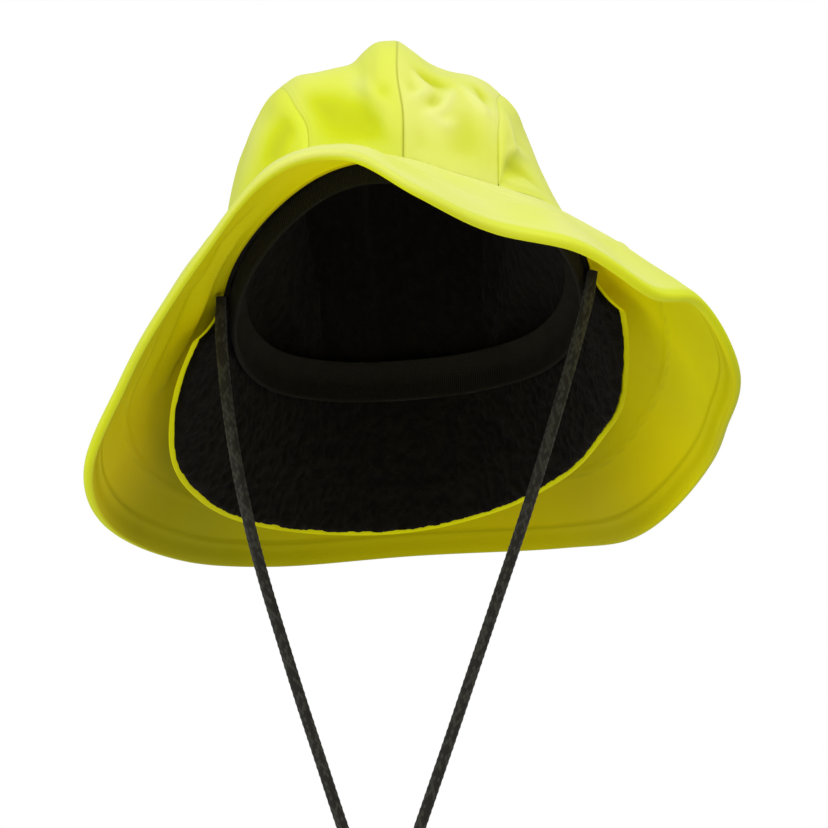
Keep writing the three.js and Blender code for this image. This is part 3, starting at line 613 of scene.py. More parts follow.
crown = {
    "rows": 170, "columns": 88, "easeAlong": 0.6, "easeAcross": 0.9,
    "sideInset": 0.004,  # a side panel stops this share short of its two corners
    # seams: width and depth of the turned edge, and how much painted shade lies in its groove
    "seams": {
        "rim": (0.0010, 0.00012, 0.0), "centre": (0.0014, 0.0008, 0.6), "shoulder": (0.0014, 0.00045, 0.16),
    },
    "seamShadeWidth": 0.0006, "held": 0.012,  # folds fade out over this way to a seam
    "creaseHighlight": 340, "creaseShade": 200,  # per metre: how much painted highlight the ridges get and how much painted shade the furrows get
    # the allowance that shows through beside a shoulder seam
    "weltAt": 0.0027, "weltWidth": 0.0007, "weltHeight": 0.0003,
    # height, size and seed of the lumps
    "waves": [(0.0007, 0.03, 5), (0.0003, 0.012, 6)], "puckers": (0.00016, 0.006, 8), "puckerReach": 0.006,
    # how much painted highlight each panel has, more on the right where the light falls, and the size and
    # seed of its mottling
    "paintedLight": {"top_left": 0.5, "top_right": 0.76, "side_left": 0.22, "side_right": 0.55},
    "mottle": (0.02, 9),
    # where the cloth lies in a hollow and gets less painted highlight: panel, along, across, spread along,
    # spread across
    "hollows": [("top_left", 0.07, 0.6, 0.045, 0.4), ("side_right", 0.09, 0.5, 0.07, 0.14)],
    "centre": {
        "along": [0.06, 0.12, 0.19, 0.28, 0.38, 0.48, 0.58, 0.68, 0.78, 0.89],
        "x": [0.03, 0.015, 0.045, 0.07, 0.05, 0.03, 0.02, 0, 0, 0],
        "y": [-0.97, -0.885, -0.73, -0.45, -0.13, 0.18, 0.5, 0.77, 0.93, 0.99],
        "z": [0.52, 0.7, 0.86, 0.965, 1, 0.99, 0.92, 0.75, 0.48, 0.15],
    },
    "shoulder": {
        "along": [0.08, 0.135, 0.2, 0.28, 0.38, 0.51, 0.61, 0.72, 0.84],
        "y": [-0.8, -0.72, -0.58, -0.38, -0.1, 0.25, 0.52, 0.74, 0.85],
        "leftX": [0.78, 0.86, 0.94, 1, 1.02, 1.02, 1, 0.95, 0.87],
        "leftZ": [0.64, 0.77, 0.91, 0.98, 1, 0.985, 0.89, 0.64, 0.27],
        "rightX": [0.83, 0.87, 0.88, 0.95, 1, 1.02, 1, 0.95, 0.87],
        "rightZ": [0.52, 0.66, 0.78, 0.87, 0.91, 0.91, 0.85, 0.62, 0.26],
    },
    "roof": {
        "across": [0, 0.16, 0.28, 0.4, 0.55, 0.7, 0.85, 1],
        "left": [0, 0.7, 0, -1, -0.7, -0.2, 0.4, 0],
        "right": [0, -0.3, -0.5, -0.5, -0.2, 0.3, 0.5, 0],
    },
    "wall": {
        "across": [0, 0.25, 0.5, 0.7, 0.85, 0.94, 1],
        "left": [0, 0.6, 0.9, 0.88, 0.65, 0.35, 0],
        "right": [0, -0.25, -0.15, 0.15, 0.3, 0.2, 0],
    },
    # panel, along, across, spread along, spread across, depth as a share of the bulge
    "dents": [
        ("side_right", 0.12, 0.45, 0.07, 0.2, 0.5), ("side_right", 0.3, 0.72, 0.08, 0.14, 0.25),
        ("top_right", 0.24, 0.42, 0.05, 0.18, 0.35), ("top_right", 0.13, 0.75, 0.04, 0.16, 0.2),
        ("top_left", 0.13, 0.5, 0.07, 0.3, 0.45), ("side_left", 0.2, 0.8, 0.07, 0.12, 0.25),
        ("side_left", 0.6, 0.5, 0.12, 0.2, 0.3), ("side_right", 0.65, 0.5, 0.1, 0.2, 0.3),
    ],
    # soft creases: panel, places (along, across), width and height in metres, below nought for a furrow
    "creases": [
        ("top_left", [(0.115, 0.97), (0.08, 0.7), (0.05, 0.35), (0.016, 0.1)], 0.012, -0.0016),
        ("top_left", [(0.135, 0.99), (0.125, 0.85), (0.1, 0.6)], 0.010, -0.0011),
        ("top_left", [(0.169, 0.455), (0.109, 0.331), (0.063, 0.167), (0.031, 0.043)], 0.0045, 0.0017),
        ("top_left", [(0.104, 0.191), (0.085, 0.094)], 0.005, -0.0010),
        ("side_left", [(0.129, 0.916), (0.134, 0.742), (0.14, 0.542), (0.158, 0.408)], 0.009, -0.0015),
        ("side_left", [(0.226, 0.866), (0.238, 0.696), (0.224, 0.552), (0.234, 0.371)], 0.011, 0.0009),
        ("top_right", [(0.153, 0.191), (0.15, 0.36), (0.16, 0.5)], 0.005, -0.0019),
        ("top_right", [(0.12, 0.41), (0.103, 0.36), (0.086, 0.3)], 0.0038, -0.0016),
        ("top_right", [(0.078, 0.02), (0.088, 0.09), (0.108, 0.258), (0.123, 0.324)], 0.0026, 0.0011),
        ("top_right", [(0.123, 0.324), (0.134, 0.237), (0.147, 0.14)], 0.0026, 0.0011),
        ("top_right", [(0.155, 0.572), (0.093, 0.418), (0.074, 0.278)], 0.0028, 0.0015),
        ("top_right", [(0.074, 0.278), (0.065, 0.431), (0.079, 0.548)], 0.0028, 0.0010),
        ("top_right", [(0.174, 0.592), (0.143, 0.746), (0.124, 0.863), (0.123, 0.973)], 0.003, 0.0017),
        ("top_right", [(0.194, 0.769), (0.174, 0.833), (0.142, 0.856)], 0.003, -0.0016),
        ("top_right", [(0.122, 0.12), (0.098, 0.137)], 0.003, -0.0010),
        ("top_right", [(0.109, 0.645), (0.063, 0.659), (0.025, 0.592)], 0.008, -0.0010),
        ("top_right", [(0.05, 0.06), (0.023, 0.117), (0.008, 0.161)], 0.006, -0.0008),
        ("side_right", [(0.03, 0.85), (0.09, 0.5), (0.15, 0.37), (0.18, 0.25)], 0.0045, -0.0017),
        ("side_right", [(0.054, 0.946), (0.147, 0.585), (0.211, 0.505)], 0.003, 0.0014),
        ("side_right", [(0.02, 0.7), (0.043, 0.231), (0.1, 0.087), (0.155, 0.05)], 0.0028, 0.0013),
        ("side_right", [(0.153, 0.863), (0.14, 0.736), (0.128, 0.599)], 0.003, 0.0009),
    ],
}


def sideSign(side):
    return -1 if side == "left" else 1


def seamLine(table, columns, scales, startAzimuth, endAzimuth):
    start, end = rimPoint(startAzimuth), rimPoint(endAzimuth)
    rows = {"along": [0, *table["along"], 1]}
    for k, (name, column) in enumerate(zip("xyz", columns)):
        rows[name] = [start[k], *(scales[k] * value for value in table[column]), end[k]]
    return lambda along: stack(*(tableAt(rows, "along", along, name) for name in "xyz"))


seams = {
    "centre": seamLine(
        crown["centre"], ("x", "y", "z"),
        (hat["shoulderHalfWidth"], hat["halfLength"], hat["crownHeight"]),
        0, 180,
    ),
}
for sideName in ("left", "right"):
    turnSign = sideSign(sideName)
    seams[sideName] = seamLine(
        crown["shoulder"], (sideName + "X", "y", sideName + "Z"),
        (turnSign * hat["shoulderHalfWidth"], hat["halfLength"], hat["shoulderHeight"]),
        turnSign * hat["shoulderStart"], turnSign * (180 - hat["shoulderStart"]),
    )


def plainTop(side, along, across):
    sign, start = sideSign(side), hat["shoulderStart"]
    at = across[..., None]
    point = seams["centre"](along) * (1 - at) + seams[side](along) * at
    zero, one = np.zeros_like(along), np.ones_like(along)
    for end, share, azimuth in (
        (zero, (1 - along) ** 4, sign * start * across),
        (one, along**4, sign * (180 - start * across)),
    ):
        chord = seams["centre"](end) * (1 - at) + seams[side](end) * at
        point = point + (rimPoint(azimuth) - chord) * share[..., None]
    return point


def sideAzimuth(side, along):
    return sideSign(side) * (hat["shoulderStart"] + (180 - 2 * hat["shoulderStart"]) * along)


def plainSide(side, along, across):
    at = across[..., None]
    return rimPoint(sideAzimuth(side, along)) * (1 - at) + seams[side](along) * at


plainPanel = {"top": plainTop, "side": plainSide}


def plainNormal(kind, side, along, across):
    step = 0.02
    a, c = np.clip(along, step, 1 - step), np.clip(across, step, 1 - step)
    panel = plainPanel[kind]
    alongStep = panel(side, a + step, c) - panel(side, a - step, c)
    acrossStep = panel(side, a, c + step) - panel(side, a, c - step)
    normal = unit(np.cross(alongStep, acrossStep))
    inward = np.sum(normal * panel(side, a, c), axis=-1, keepdims=True) < 0
    return np.where(inward, -normal, normal)


def swellAt(kind, side, along, across):
    profile, size = (crown["roof"], hat["roofHollow"]) if kind == "top" else (crown["wall"], hat["sideBulge"])
    swell = tableAt(profile, "across", across, side) * size
    dent = np.zeros_like(along)
    for panel, atAlong, atAcross, alongSpread, acrossSpread, depth in crown["dents"]:
        if panel == kind + "_" + side:
            near = depth * hat["sideBulge"] * bell(along - atAlong, alongSpread)
            dent += near * bell(across - atAcross, acrossSpread)
    return (swell - dent * fadeToEnds(across, 0.5)) * fadeToEnds(along, 0.7)


def creaseRise(points, lines, lookUp):
    # ridges and furrows that follow places on a grid of points and fade at both ends
    rise = np.zeros(points.shape[:-1])
    for places, width, height in lines:
        marks = [lookUp(place) for place in places]
        gap = np.full(rise.shape, np.inf)
        share = np.zeros(rise.shape)
        for k, (a, b) in enumerate(zip(marks, marks[1:])):
            reach = np.clip(np.sum((points - a) * (b - a), axis=-1) / np.sum((b - a) ** 2), 0, 1)
            here = np.linalg.norm(points - (a + reach[..., None] * (b - a)), axis=-1)
            share = np.where(here < gap, (k + reach) / (len(marks) - 1), share)
            gap = np.minimum(gap, here)
        rise += height * bell(gap, width) * (1 - 0.7 * (2 * share - 1) ** 2)
    return rise


def lipFall(way, width, depth):
    # how far a seam's edge has turned down, a way from the seam
    share = np.clip(1 - way / width, 0, 1)
    return depth * (1 - np.sqrt(np.maximum(1 - share**2, 0)))


def makeCrownPanel(kind, side):
    panelName = kind + "_" + side
    rows, columns = eased(crown["rows"], crown["easeAlong"]), eased(crown["columns"], crown["easeAcross"])
    along, across = np.meshgrid(rows, columns, indexing="ij")
    if kind == "side":
        along = crown["sideInset"] + (1 - 2 * crown["sideInset"]) * along
    plain = plainPanel[kind](side, along, across)
    normal = plainNormal(kind, side, along, across)
    shape = plain + normal * swellAt(kind, side, along, across)[..., None]
    fromLow, fromHigh = edgeWays(shape, 1)
    if kind == "top":
        fromFront, fromBack = edgeWays(shape, 0)
        ways = {"rim": np.minimum(fromFront, fromBack), "centre": fromLow, "shoulder": fromHigh}
    else:
        ways = {"rim": fromLow, "shoulder": fromHigh}
    nearest = np.minimum.reduce(list(ways.values()))
    free = smoothStep(0.0, crown["held"], nearest)
    puckers = layeredNoise(shape, [crown["puckers"]]) * bell(nearest, crown["puckerReach"])
    lines = [line for panel, *line in crown["creases"] if panel == panelName]

    def lookUp(place):
        at = (np.array(place[0]), np.array(place[1]))
        return plainPanel[kind](side, *at) + plainNormal(kind, side, *at) * swellAt(kind, side, *at)

    folded = creaseRise(shape, lines, lookUp) * free
    rise = layeredNoise(shape, crown["waves"]) * free + puckers + folded
    if kind == "top":
        rise += crown["weltHeight"] * bell(ways["shoulder"] - crown["weltAt"], crown["weltWidth"]) * free**0.5
    fall = np.maximum.reduce([lipFall(way, *crown["seams"][seam][:2]) for seam, way in ways.items()])
    outer = shape + normal * (rise - fall)[..., None]
    face = unit(np.cross(np.gradient(outer, axis=0), np.gradient(outer, axis=1)))
    face = np.where(np.sum(face * normal, axis=-1, keepdims=True) < 0, -face, face)
    inner = outer - face * hat["cloth"]
    # painted shade in the seam grooves and in the furrows of the creases, on both faces of the cloth
    seamShades = [crown["seams"][seam][2] * bell(way, crown["seamShadeWidth"]) for seam, way in ways.items()]
    groove = np.maximum.reduce([*seamShades, crown["creaseShade"] * np.maximum(-folded, 0)])
    # painted highlight: each panel's share, mottled, more on the crease ridges and less in the hollows
    paintedLight = crown["paintedLight"][panelName] * mottled(shape, *crown["mottle"]) + crown["creaseHighlight"] * folded
    for panel, atAlong, atAcross, alongSpread, acrossSpread in crown["hollows"]:
        if panel == panelName:
            paintedLight = paintedLight * (1 - bell(along - atAlong, alongSpread) * bell(across - atAcross, acrossSpread))
    zero = np.zeros_like(groove)
    outerTone = np.stack([zero, groove, np.clip(paintedLight, 0, 1)], axis=-1)
    innerTone = np.stack([zero + 1, groove, zero], axis=-1)
    return wallPiece(f"crown_{panelName}_cloth", worn(outer), worn(inner), outerTone, innerTone, 60)


# Brim: one wide ring of cloth with a padded hem

brim = {
    "reach": 0.119, "turns": 480, "spans": 70, "ease": 0.35, "steps": 12,
    "waves": [(0.0009, 0.045, 15), (0.00035, 0.016, 16)],
    "rootHeld": 0.008, "hemHeld": 0.02,  # folds fade out over this way to the rim and to the outer edge
    # the edge along the crown: width and depth of its turn, the share of the gap that it fills,
    # and how far below the rim its wall starts and ends
    "rootTurn": (0.0012, 0.00015), "rootLift": 0.9, "ledge": (0.0012, 0.0022),
    "hemWidth": 0.0115, "hemRoot": 0.0021, "hemRoll": 0.0048, "hemLift": 0.0013, "rollSteps": 14,
    "hemStep": 0.0005, "hemSwell": (0.009, 0.001), "furrow": (0.0002, 0.0010),
    # painted highlight on the top, all round by azimuth
    "paintedLight": {
        "azimuth": [0, 30, 60, 75, 90, 135, 180, 225, 270, 315, 340],
        "share": [1, 1.05, 0.55, 0.2, 0.25, 0.4, 0.5, 0.4, 0.3, 0.6, 0.9],
    },
    # all round: how much painted shade the underside has, how much painted highlight the outer edge keeps,
    # from which share of the roll on it has the inside's tone, and how much painted shade the hem has
    "shade": {
        "azimuth": [0, 60, 75, 95, 112, 132, 160, 200, 228, 245, 262, 280, 300, 340],
        "under": [0.0, 0.12, 0.3, 0.1, 0.2, 0.6, 0.72, 0.85, 1, 0.9, 0.25, 0.3, 0.25, 0.0],
        "pale": [0.4, 0, 0, 0, 0, 0, 0, 0, 0, 0.2, 0.5, 0.6, 0.6, 0.9],
        "wrap": [0.62, 0.62, 0.5, 0.45, 0.45, 0.45, 0.45, 0.45, 0.5, 0.6, 0.75, 0.8, 0.8, 0.6],
        "hem": [0.04, 0.14, 0.45, 0.45, 0.3, 0.2, 0.2, 0.2, 0.2, 0.1, 0, 0, 0, 0.05],
    },
    "rootShade": (268, 34, 0.14, 0.8),  # azimuth and spread of the painted shadow at the root, its reach and depth
    "mottle": (0.025, 17),
    "edgePale": (0.001, 0.0045),  # the way from the outer edge over which the painted highlight on the top comes in
    "rootLine": (0.03, 0.0006), "seamLine": (0.2, 0.0008), "hemTint": 0.08,  # painted shade lines along the root and the hem's edge: how dark and how wide; and how much darker the hem band is
    "hemShade": (0.5, 0.004, 0.0005),  # painted shade on the top towards the outer edge: strength, and the way over which it comes in
    "weldLine": (0.2, 0.0012, 0.0007),  # how dark, how far beside the weld, and how wide
    # shares of the roll: over which it turns to the inside, the painted shade comes in and the painted
    # highlight goes
    "wrapLength": 0.4, "rollDark": (0.1, 0.6), "rollHighlight": (0.25, 0.65),
    # parts of the underside painted with an orange light: azimuth, share, and how far they spread either way
    "glows": [(262, 0.15, 18, 0.2), (250, 0.75, 26, 0.5), (72, 0.1, 18, 0.14), (150, 0.8, 40, 0.3)],
    "weldWidth": 0.0011, "weldHeight": 0.0006,
    "weld": {
        "azimuth": [0, 20, 72, 91, 113, 136, 180, 231, 258, 290, 330],
        "share": [0.56, 0.55, 0.42, 0.495, 0.556, 0.626, 0.66, 0.707, 0.677, 0.6, 0.5],
    },
    # sections: reach as a share of the brim's, droop at root and edge, and swing from square to the rim
    "table": {
        "azimuth": [
            0, 15, 30, 45, 60, 75, 90, 105, 130, 155, 180, 205, 230, 255, 270, 285, 300, 315, 330, 345,
        ],
        "reach": [
            0.575, 0.45, 0.51, 0.635, 0.62, 0.74, 0.735, 0.765, 0.865, 0.95,
            0.945, 0.92, 0.86, 0.845, 0.785, 0.625, 0.625, 0.6, 0.575, 0.465,
        ],
        "rootDroop": [15, 28, 24, 34, 22, 28, 32, 34, 44, 38, 34, 38, 44, 38, 31, 25, 12, 0, -17, -9],
        "edgeDroop": [36, 52, 52, 54, 54, 60, 67, 64, 66, 51, 49, 53, 58, 57, 58, 56, 58, 50, 37, 30],
        "swing": [2, 0, 0, 0, 0, 0, 4, 8, 6, 2, 0, 0, 2, 4, 8, 18, 24, 24, 22, 12],
    },
    # azimuth, spread in degrees, depth as a share of the reach, start and end as shares of the way out
    "folds": [(298, 5, 0.03, 0.05, 0.8), (62, 7, 0.02, 0.1, 0.9), (22, 6, 0.012, 0.1, 0.7)],
    # long folds: places (azimuth, share), width and height in metres
    "creases": [
        ([(316, 0.16), (303, 0.19), (283, 0.293), (268, 0.45)], 0.0045, 0.0026),
        ([(308, 0.12), (290, 0.11), (278, 0.18), (266, 0.384)], 0.004, -0.0027),
        ([(300, 0.06), (284, 0.10), (273, 0.182), (264, 0.32)], 0.0035, 0.0021),
        ([(20, 0.2), (27, 0.323), (34, 0.354), (41, 0.36)], 0.0022, -0.0008),
        ([(14, 0.06), (26, 0.07), (40, 0.06)], 0.003, 0.0008),
        ([(70, 0.08), (82, 0.3), (88, 0.6)], 0.006, -0.0004),
        ([(112, 0.1), (118, 0.5)], 0.008, -0.0010),
        ([(236, 0.2), (240, 0.6)], 0.008, 0.0010),
    ],
}


def brimMiddle(azimuth, share):
    # steps out along the cloth while it droops more and more
    columns = ("reach", "rootDroop", "edgeDroop", "swing")
    reach, root, edge, swing = (tableAt(brim["table"], "azimuth", azimuth, column, 360) for column in columns)
    out = outward(azimuth, swing)
    point = rimPoint(azimuth, 0.0, -hat["gap"])
    steps = brim["steps"]
    stride = reach * brim["reach"] * share / steps
    for i in range(steps):
        droop = np.radians(root + (edge - root) * (i + 0.5) / steps * share)
        point = point + out * (stride * np.cos(droop))[..., None]
        point[..., 2] -= stride * np.sin(droop)
    droop = np.radians(root + (edge - root) * share)
    normal = out * np.sin(droop)[..., None]
    normal[..., 2] += np.cos(droop)
    depth = np.zeros_like(share)
    for at, spread, deep, start, end in brim["folds"]:
        place = np.clip((share - start) / (end - start), 0, 1)
        depth += deep * brim["reach"] * bell(azimuth - at, spread) * fadeToEnds(place, 2)
    return point - normal * depth[..., None], normal, reach * brim["reach"]


def shadeAt(column, azimuth):
    return tableAt(brim["shade"], "azimuth", azimuth, column, 360)


def brimTone(azimuth, share, point, reach, fromWeld, inHem):
    zero = np.zeros_like(share)
    fromEdge = reach * (1 - share)
    hemDark = shadeAt("hem", azimuth)
    # painted highlight on the top, mottled; near the outer edge only as much as the pale column keeps
    paintedLight = tableAt(brim["paintedLight"], "azimuth", azimuth, "share", 360) * mottled(point, *brim["mottle"])
    paleEdge = np.clip(shadeAt("pale", azimuth), 0, 1)
    paintedLight = np.clip(paintedLight * np.maximum(smoothStep(*brim["edgePale"], fromEdge), paleEdge), 0, 1)
    # painted shade on the top: a line along the root, and more towards the outer edge
    lineDark, lineWidth = brim["rootLine"]
    deep, dimStart, dimEnd = brim["hemShade"]
    topDark = lineDark * bell(reach * share, lineWidth)
    topDark = topDark + deep * hemDark * smoothStep(dimStart, dimEnd, fromEdge)
    topTone = np.stack([zero, topDark, paintedLight], axis=-1)

    # underside: painted shade by azimuth, painted shadow at the root, and darker lines along the hem's edge
    # and beside the weld
    at, turnSpread, shareSpread, deep = brim["rootShade"]
    rootDark = deep * bell(azimuth - at, turnSpread) * bell(share, shareSpread)
    lineDark, lineWidth = brim["seamLine"]
    seamDark = lineDark * bell(fromEdge - brim["hemWidth"], lineWidth) + brim["hemTint"] * inHem
    lineDark, beside, lineWidth = brim["weldLine"]
    seamDark = seamDark + lineDark * bell(fromWeld - beside, lineWidth)
    underDark = np.clip(shadeAt("under", azimuth) + rootDark + seamDark, 0, 1)
    # painted orange light on the underside
    glow = zero
    for atAzimuth, atShare, turnSpread, shareSpread in brim["glows"]:
        glow = np.maximum(glow, bell(azimuth - atAzimuth, turnSpread) * bell(share - atShare, shareSpread))
    underTone = np.stack([zero + 1, underDark, glow], axis=-1)

    # over the roll the tone changes from the outside's to the inside's
    onRoll = np.linspace(0, 1, brim["rollSteps"])[None, :] * np.ones((len(azimuth), 1))
    wrap = shadeAt("wrap", azimuth[:, :1])
    inward = smoothStep(wrap, wrap + brim["wrapLength"], onRoll)
    rollDark = hemDark[:, :1] * (0.5 + 0.5 * smoothStep(*brim["rollDark"], onRoll))
    rollDark = rollDark * (1 - inward) + np.maximum(rollDark, underDark[:, -1:]) * inward
    rollHighlight = paintedLight[:, -1:] * (1 - smoothStep(*brim["rollHighlight"], onRoll)) * (1 - inward)
    rollTone = np.stack([inward, rollDark, rollHighlight], axis=-1)
    # the ledges along the crown take the inside's colour with full painted orange light and full painted
    # shade
    ledgeTone = np.ones((len(azimuth), 1, 3))
    return np.concatenate([ledgeTone, topTone, rollTone, underTone[:, ::-1], ledgeTone], axis=1)


def makeBrim():
    azimuth = np.arange(brim["turns"]) * 360 / brim["turns"]
    turnGrid, share = np.meshgrid(azimuth, eased(brim["spans"], brim["ease"]), indexing="ij")
    point, normal, reach = brimMiddle(turnGrid, share)
    fromEdge = reach * (1 - share)
    inHem = smoothStep(brim["hemWidth"] + brim["hemStep"], brim["hemWidth"] - brim["hemStep"], fromEdge)
    thick = brim["hemRoot"] + (brim["hemRoll"] - brim["hemRoot"]) * smoothStep(*brim["hemSwell"], fromEdge)

    def lookUp(place):
        return brimMiddle(np.array(float(place[0])), np.array(float(place[1])))[0]

    free = smoothStep(0, brim["rootHeld"], reach * share) * smoothStep(0.0, brim["hemHeld"], fromEdge)
    rise = layeredNoise(point, brim["waves"]) * free + creaseRise(point, brim["creases"], lookUp) * free
    middle = point + normal * rise[..., None]
    fromWeld = (share - tableAt(brim["weld"], "azimuth", turnGrid, "share", 360)) * reach
    weld = brim["weldHeight"] * bell(fromWeld, brim["weldWidth"])
    furrowDepth, furrowWidth = brim["furrow"]
    furrow = furrowDepth * bell(fromEdge - brim["hemWidth"], furrowWidth)
    turnWidth, turnDepth = brim["rootTurn"]
    rootRise = brim["rootLift"] * hat["gap"] * bell(reach * share, turnWidth)
    rootFall = lipFall(reach * share, turnWidth, turnDepth) - rootRise
    hemTop = brim["hemLift"] * smoothStep(brim["hemWidth"], brim["hemSwell"][1], fromEdge)
    high = hemTop + weld - rootFall
    low = hemTop - weld + furrow - (hat["cloth"] + inHem * (thick - hat["cloth"]))
    top = middle + normal * high[..., None]
    under = middle + normal * low[..., None]
    # the roll at the outer edge is a half round from the top face to the underside
    centre = (top[:, -1] + under[:, -1]) / 2
    half = (top[:, -1] - under[:, -1]) / 2
    outDirection = unit(middle[:, -1] - middle[:, -3])
    angles = np.linspace(0, math.pi, brim["rollSteps"] + 2)[1:-1]
    rollWidth = np.linalg.norm(half, axis=-1, keepdims=True)
    rolls = [centre + half * math.cos(a) + outDirection * rollWidth * math.sin(a) for a in angles]
    ledgeTop, ledgeLow = (
        rimPoint(azimuth, hat["cloth"], -hat["gap"] - drop)[:, None] for drop in brim["ledge"]
    )
    loops = np.concatenate([ledgeTop, top, np.stack(rolls, axis=1), under[:, ::-1], ledgeLow], axis=1)
    tone = brimTone(turnGrid, share, point, reach, fromWeld, inHem)
    return ringPiece("brim_cloth", worn(loops), tone, 70)


# Coated cloth of the shell

clothLook = {
    # lemon is the outside's own colour; under is the inside's, warmer partly as painted warm light bounced
    # from below; pale is a painted highlight, glow a painted orange light, and the dark olive a painted shade
    # that the grain also darkens towards
    "lemon": (0.74, 0.84, 0.004), "pale": (0.83, 0.87, 0.235), "under": (0.87, 0.84, 0.001),
    "glow": (0.82, 0.64, 0.001), "groove": (0.30, 0.29, 0.002), "glare": (1.0, 0.93, 0.04),
    # scale, detail, roughness and distortion of the noises
    "clouds": (28, 3.0, 0.55), "grain": (2400, 2.0, 0.5), "creep": (130, 4.0, 0.6, 0.4),
    "glowShare": 0.8, "grooveShare": 0.85, "grainShare": 0.06, "coat": 0.37,
    "creepBump": (0.10, 0.0012), "grainBump": (0.10, 0.00012),  # strength and distance
}


def coatedCloth(board, look):
    # the outside is coated and catches the light; the inside is dull, without a coat. The tone paints
    # highlight on the outside, orange light on the inside and shade on both
    inside, groove, paintedLight = board.tone()
    clouds, grain, creep = (board.noise(*look[name]) for name in ("clouds", "grain", "creep"))
    outside = board.mixColour(paintedLight * (0.75 + 0.5 * clouds), look["lemon"], look["pale"])
    lower = board.mixColour(paintedLight * look["glowShare"], look["under"], look["glow"])
    cloth = board.mixColour(inside, outside, lower)
    cloth = board.mixColour(groove * look["grooveShare"], cloth, look["groove"])
    cloth = board.mixColour(grain * look["grainShare"], cloth, look["groove"])
    return {
        "Base Color": cloth, "Roughness": 0.50 + 0.10 * clouds, "Specular IOR Level": 0.1,
        "Specular Tint": (*look["glare"], 1), "Coat Weight": (1 - inside) * look["coat"],
        "Coat Roughness": 0.42, "Coat IOR": 1.42,
        "Normal": board.bump(grain, *look["grainBump"], board.bump(creep, *look["creepBump"])),
    }


yellowCloth = newFinish("coated_yellow_cloth", coatedCloth, clothLook)
for panelKind, panelSide in itertools.product(("side", "top"), ("left", "right")):
    panelPiece = makeCrownPanel(panelKind, panelSide)
    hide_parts(f"crown_{panelKind}_{panelSide}")
    wear(panelPiece, yellowCloth)
print("crown panels made")

brimPiece = makeBrim()
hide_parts("brim")
wear(brimPiece, yellowCloth)
print("brim made")

# Headband: a ribbed band, folded over at its lower edge

band = {
    "height": 0.018, "drop": 0.010, "lean": 0.8, "tuck": 0.001, "wall": 0.002,
    "clearance": 0.0051, "turns": 2500, "levels": 14,
    "ribs": 500, "ribDepth": 0.00038, "ribSink": 0.6, "ribRoundness": 0.7, "topFold": 0.6,
    "uneven": (0.35, 0.008, 31),  # share, size and seed of the lumps in the ribs
}


def makeBand():
    # the wall follows the rim, tucks in below and leans in above
    azimuth = np.arange(band["turns"]) * 360 / band["turns"]
    above = band["height"] - band["drop"]
    inset = band["clearance"]
    profile = {
        "step": [0, 1, 2, 3],
        "inset": [inset + band["tuck"], inset, inset, inset + band["lean"] * above],
        "rise": [-band["drop"], -band["drop"] / 2, 0, above],
    }
    steps = np.linspace(0, 3, band["levels"])
    insets, rises = (tableAt(profile, "step", steps, column) for column in ("inset", "rise"))
    half = band["wall"] / 2
    centres = np.stack([rimPoint(azimuth, inset + half, rise) for inset, rise in zip(insets, rises)], axis=1)
    ribs = np.abs(np.sin(math.pi * band["ribs"] * azimuth / 360)) ** band["ribRoundness"]
    uneven = 1 + layeredNoise(centres, [band["uneven"]])
    outLevel = outward(azimuth)[:, None]
    relief = (band["ribDepth"] * (ribs[:, None] * uneven - band["ribSink"]))[..., None]
    outer = centres + outLevel * (half + relief)
    inner = centres - outLevel * (half + relief)
    foldLow = centres[:, :1] + np.array([0, 0, -half]) + outLevel * 0
    foldHigh = centres[:, -1:] + np.array([0, 0, half * band["topFold"]])
    loops = np.concatenate([foldLow, outer, foldHigh, inner[:, ::-1]], axis=1)
    tone = np.broadcast_to(ribs[:, None, None], loops.shape)
    return ringPiece("headband_rib", worn(loops), tone, 80)


def ribFinish(board, look):
    crest, _, _ = board.tone()
    fuzz = board.noise(*look["fuzz"])
    # lighter on the crests of the ribs: painted shade in the valleys between them
    colour = board.mixColour(crest * look["crestShare"], look["deep"], look["crest"])
    colour = board.mixColour(fuzz * look["fuzzShade"], colour, look["deep"])
    return {
        "Base Color": colour, "Roughness": 0.95, "Specular IOR Level": 0.1,
        "Sheen Weight": 0.04, "Sheen Roughness": 0.6, "Normal": board.bump(fuzz, *look["bump"]),
    }


ribLook = {
    "deep": (0.003, 0.0028, 0.0012), "crest": (0.013, 0.012, 0.006), "crestShare": 0.8,
    "fuzz": (1800, 3.0, 0.6), "fuzzShade": 0.5, "bump": (0.5, 0.00018),
}

bandPiece = makeBand()
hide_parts("headband")
wear(bandPiece, newFinish("black_rib_knit", ribFinish, ribLook))
print("headband made")

# Fleece lining of the crown

lining = {
    "rows": 150, "columns": 200,
    "wall": 0.0025, "backing": 0.0004, "pile": 0.0007,
    "slack": 0.0055,  # how far it hangs off the cloth of the crown
    "hold": 0.28, "ease": 0.15,  # shares of a side panel where it lies close, and where it comes away
    "ridgeWidth": 0.12, "shoulderFrom": 0.85, "endWidth": 0.06, "lowWidth": 0.1,  # shares of a panel
    "tufts": [(1, 0.0022, 41), (0.6, 0.005, 42)],
}


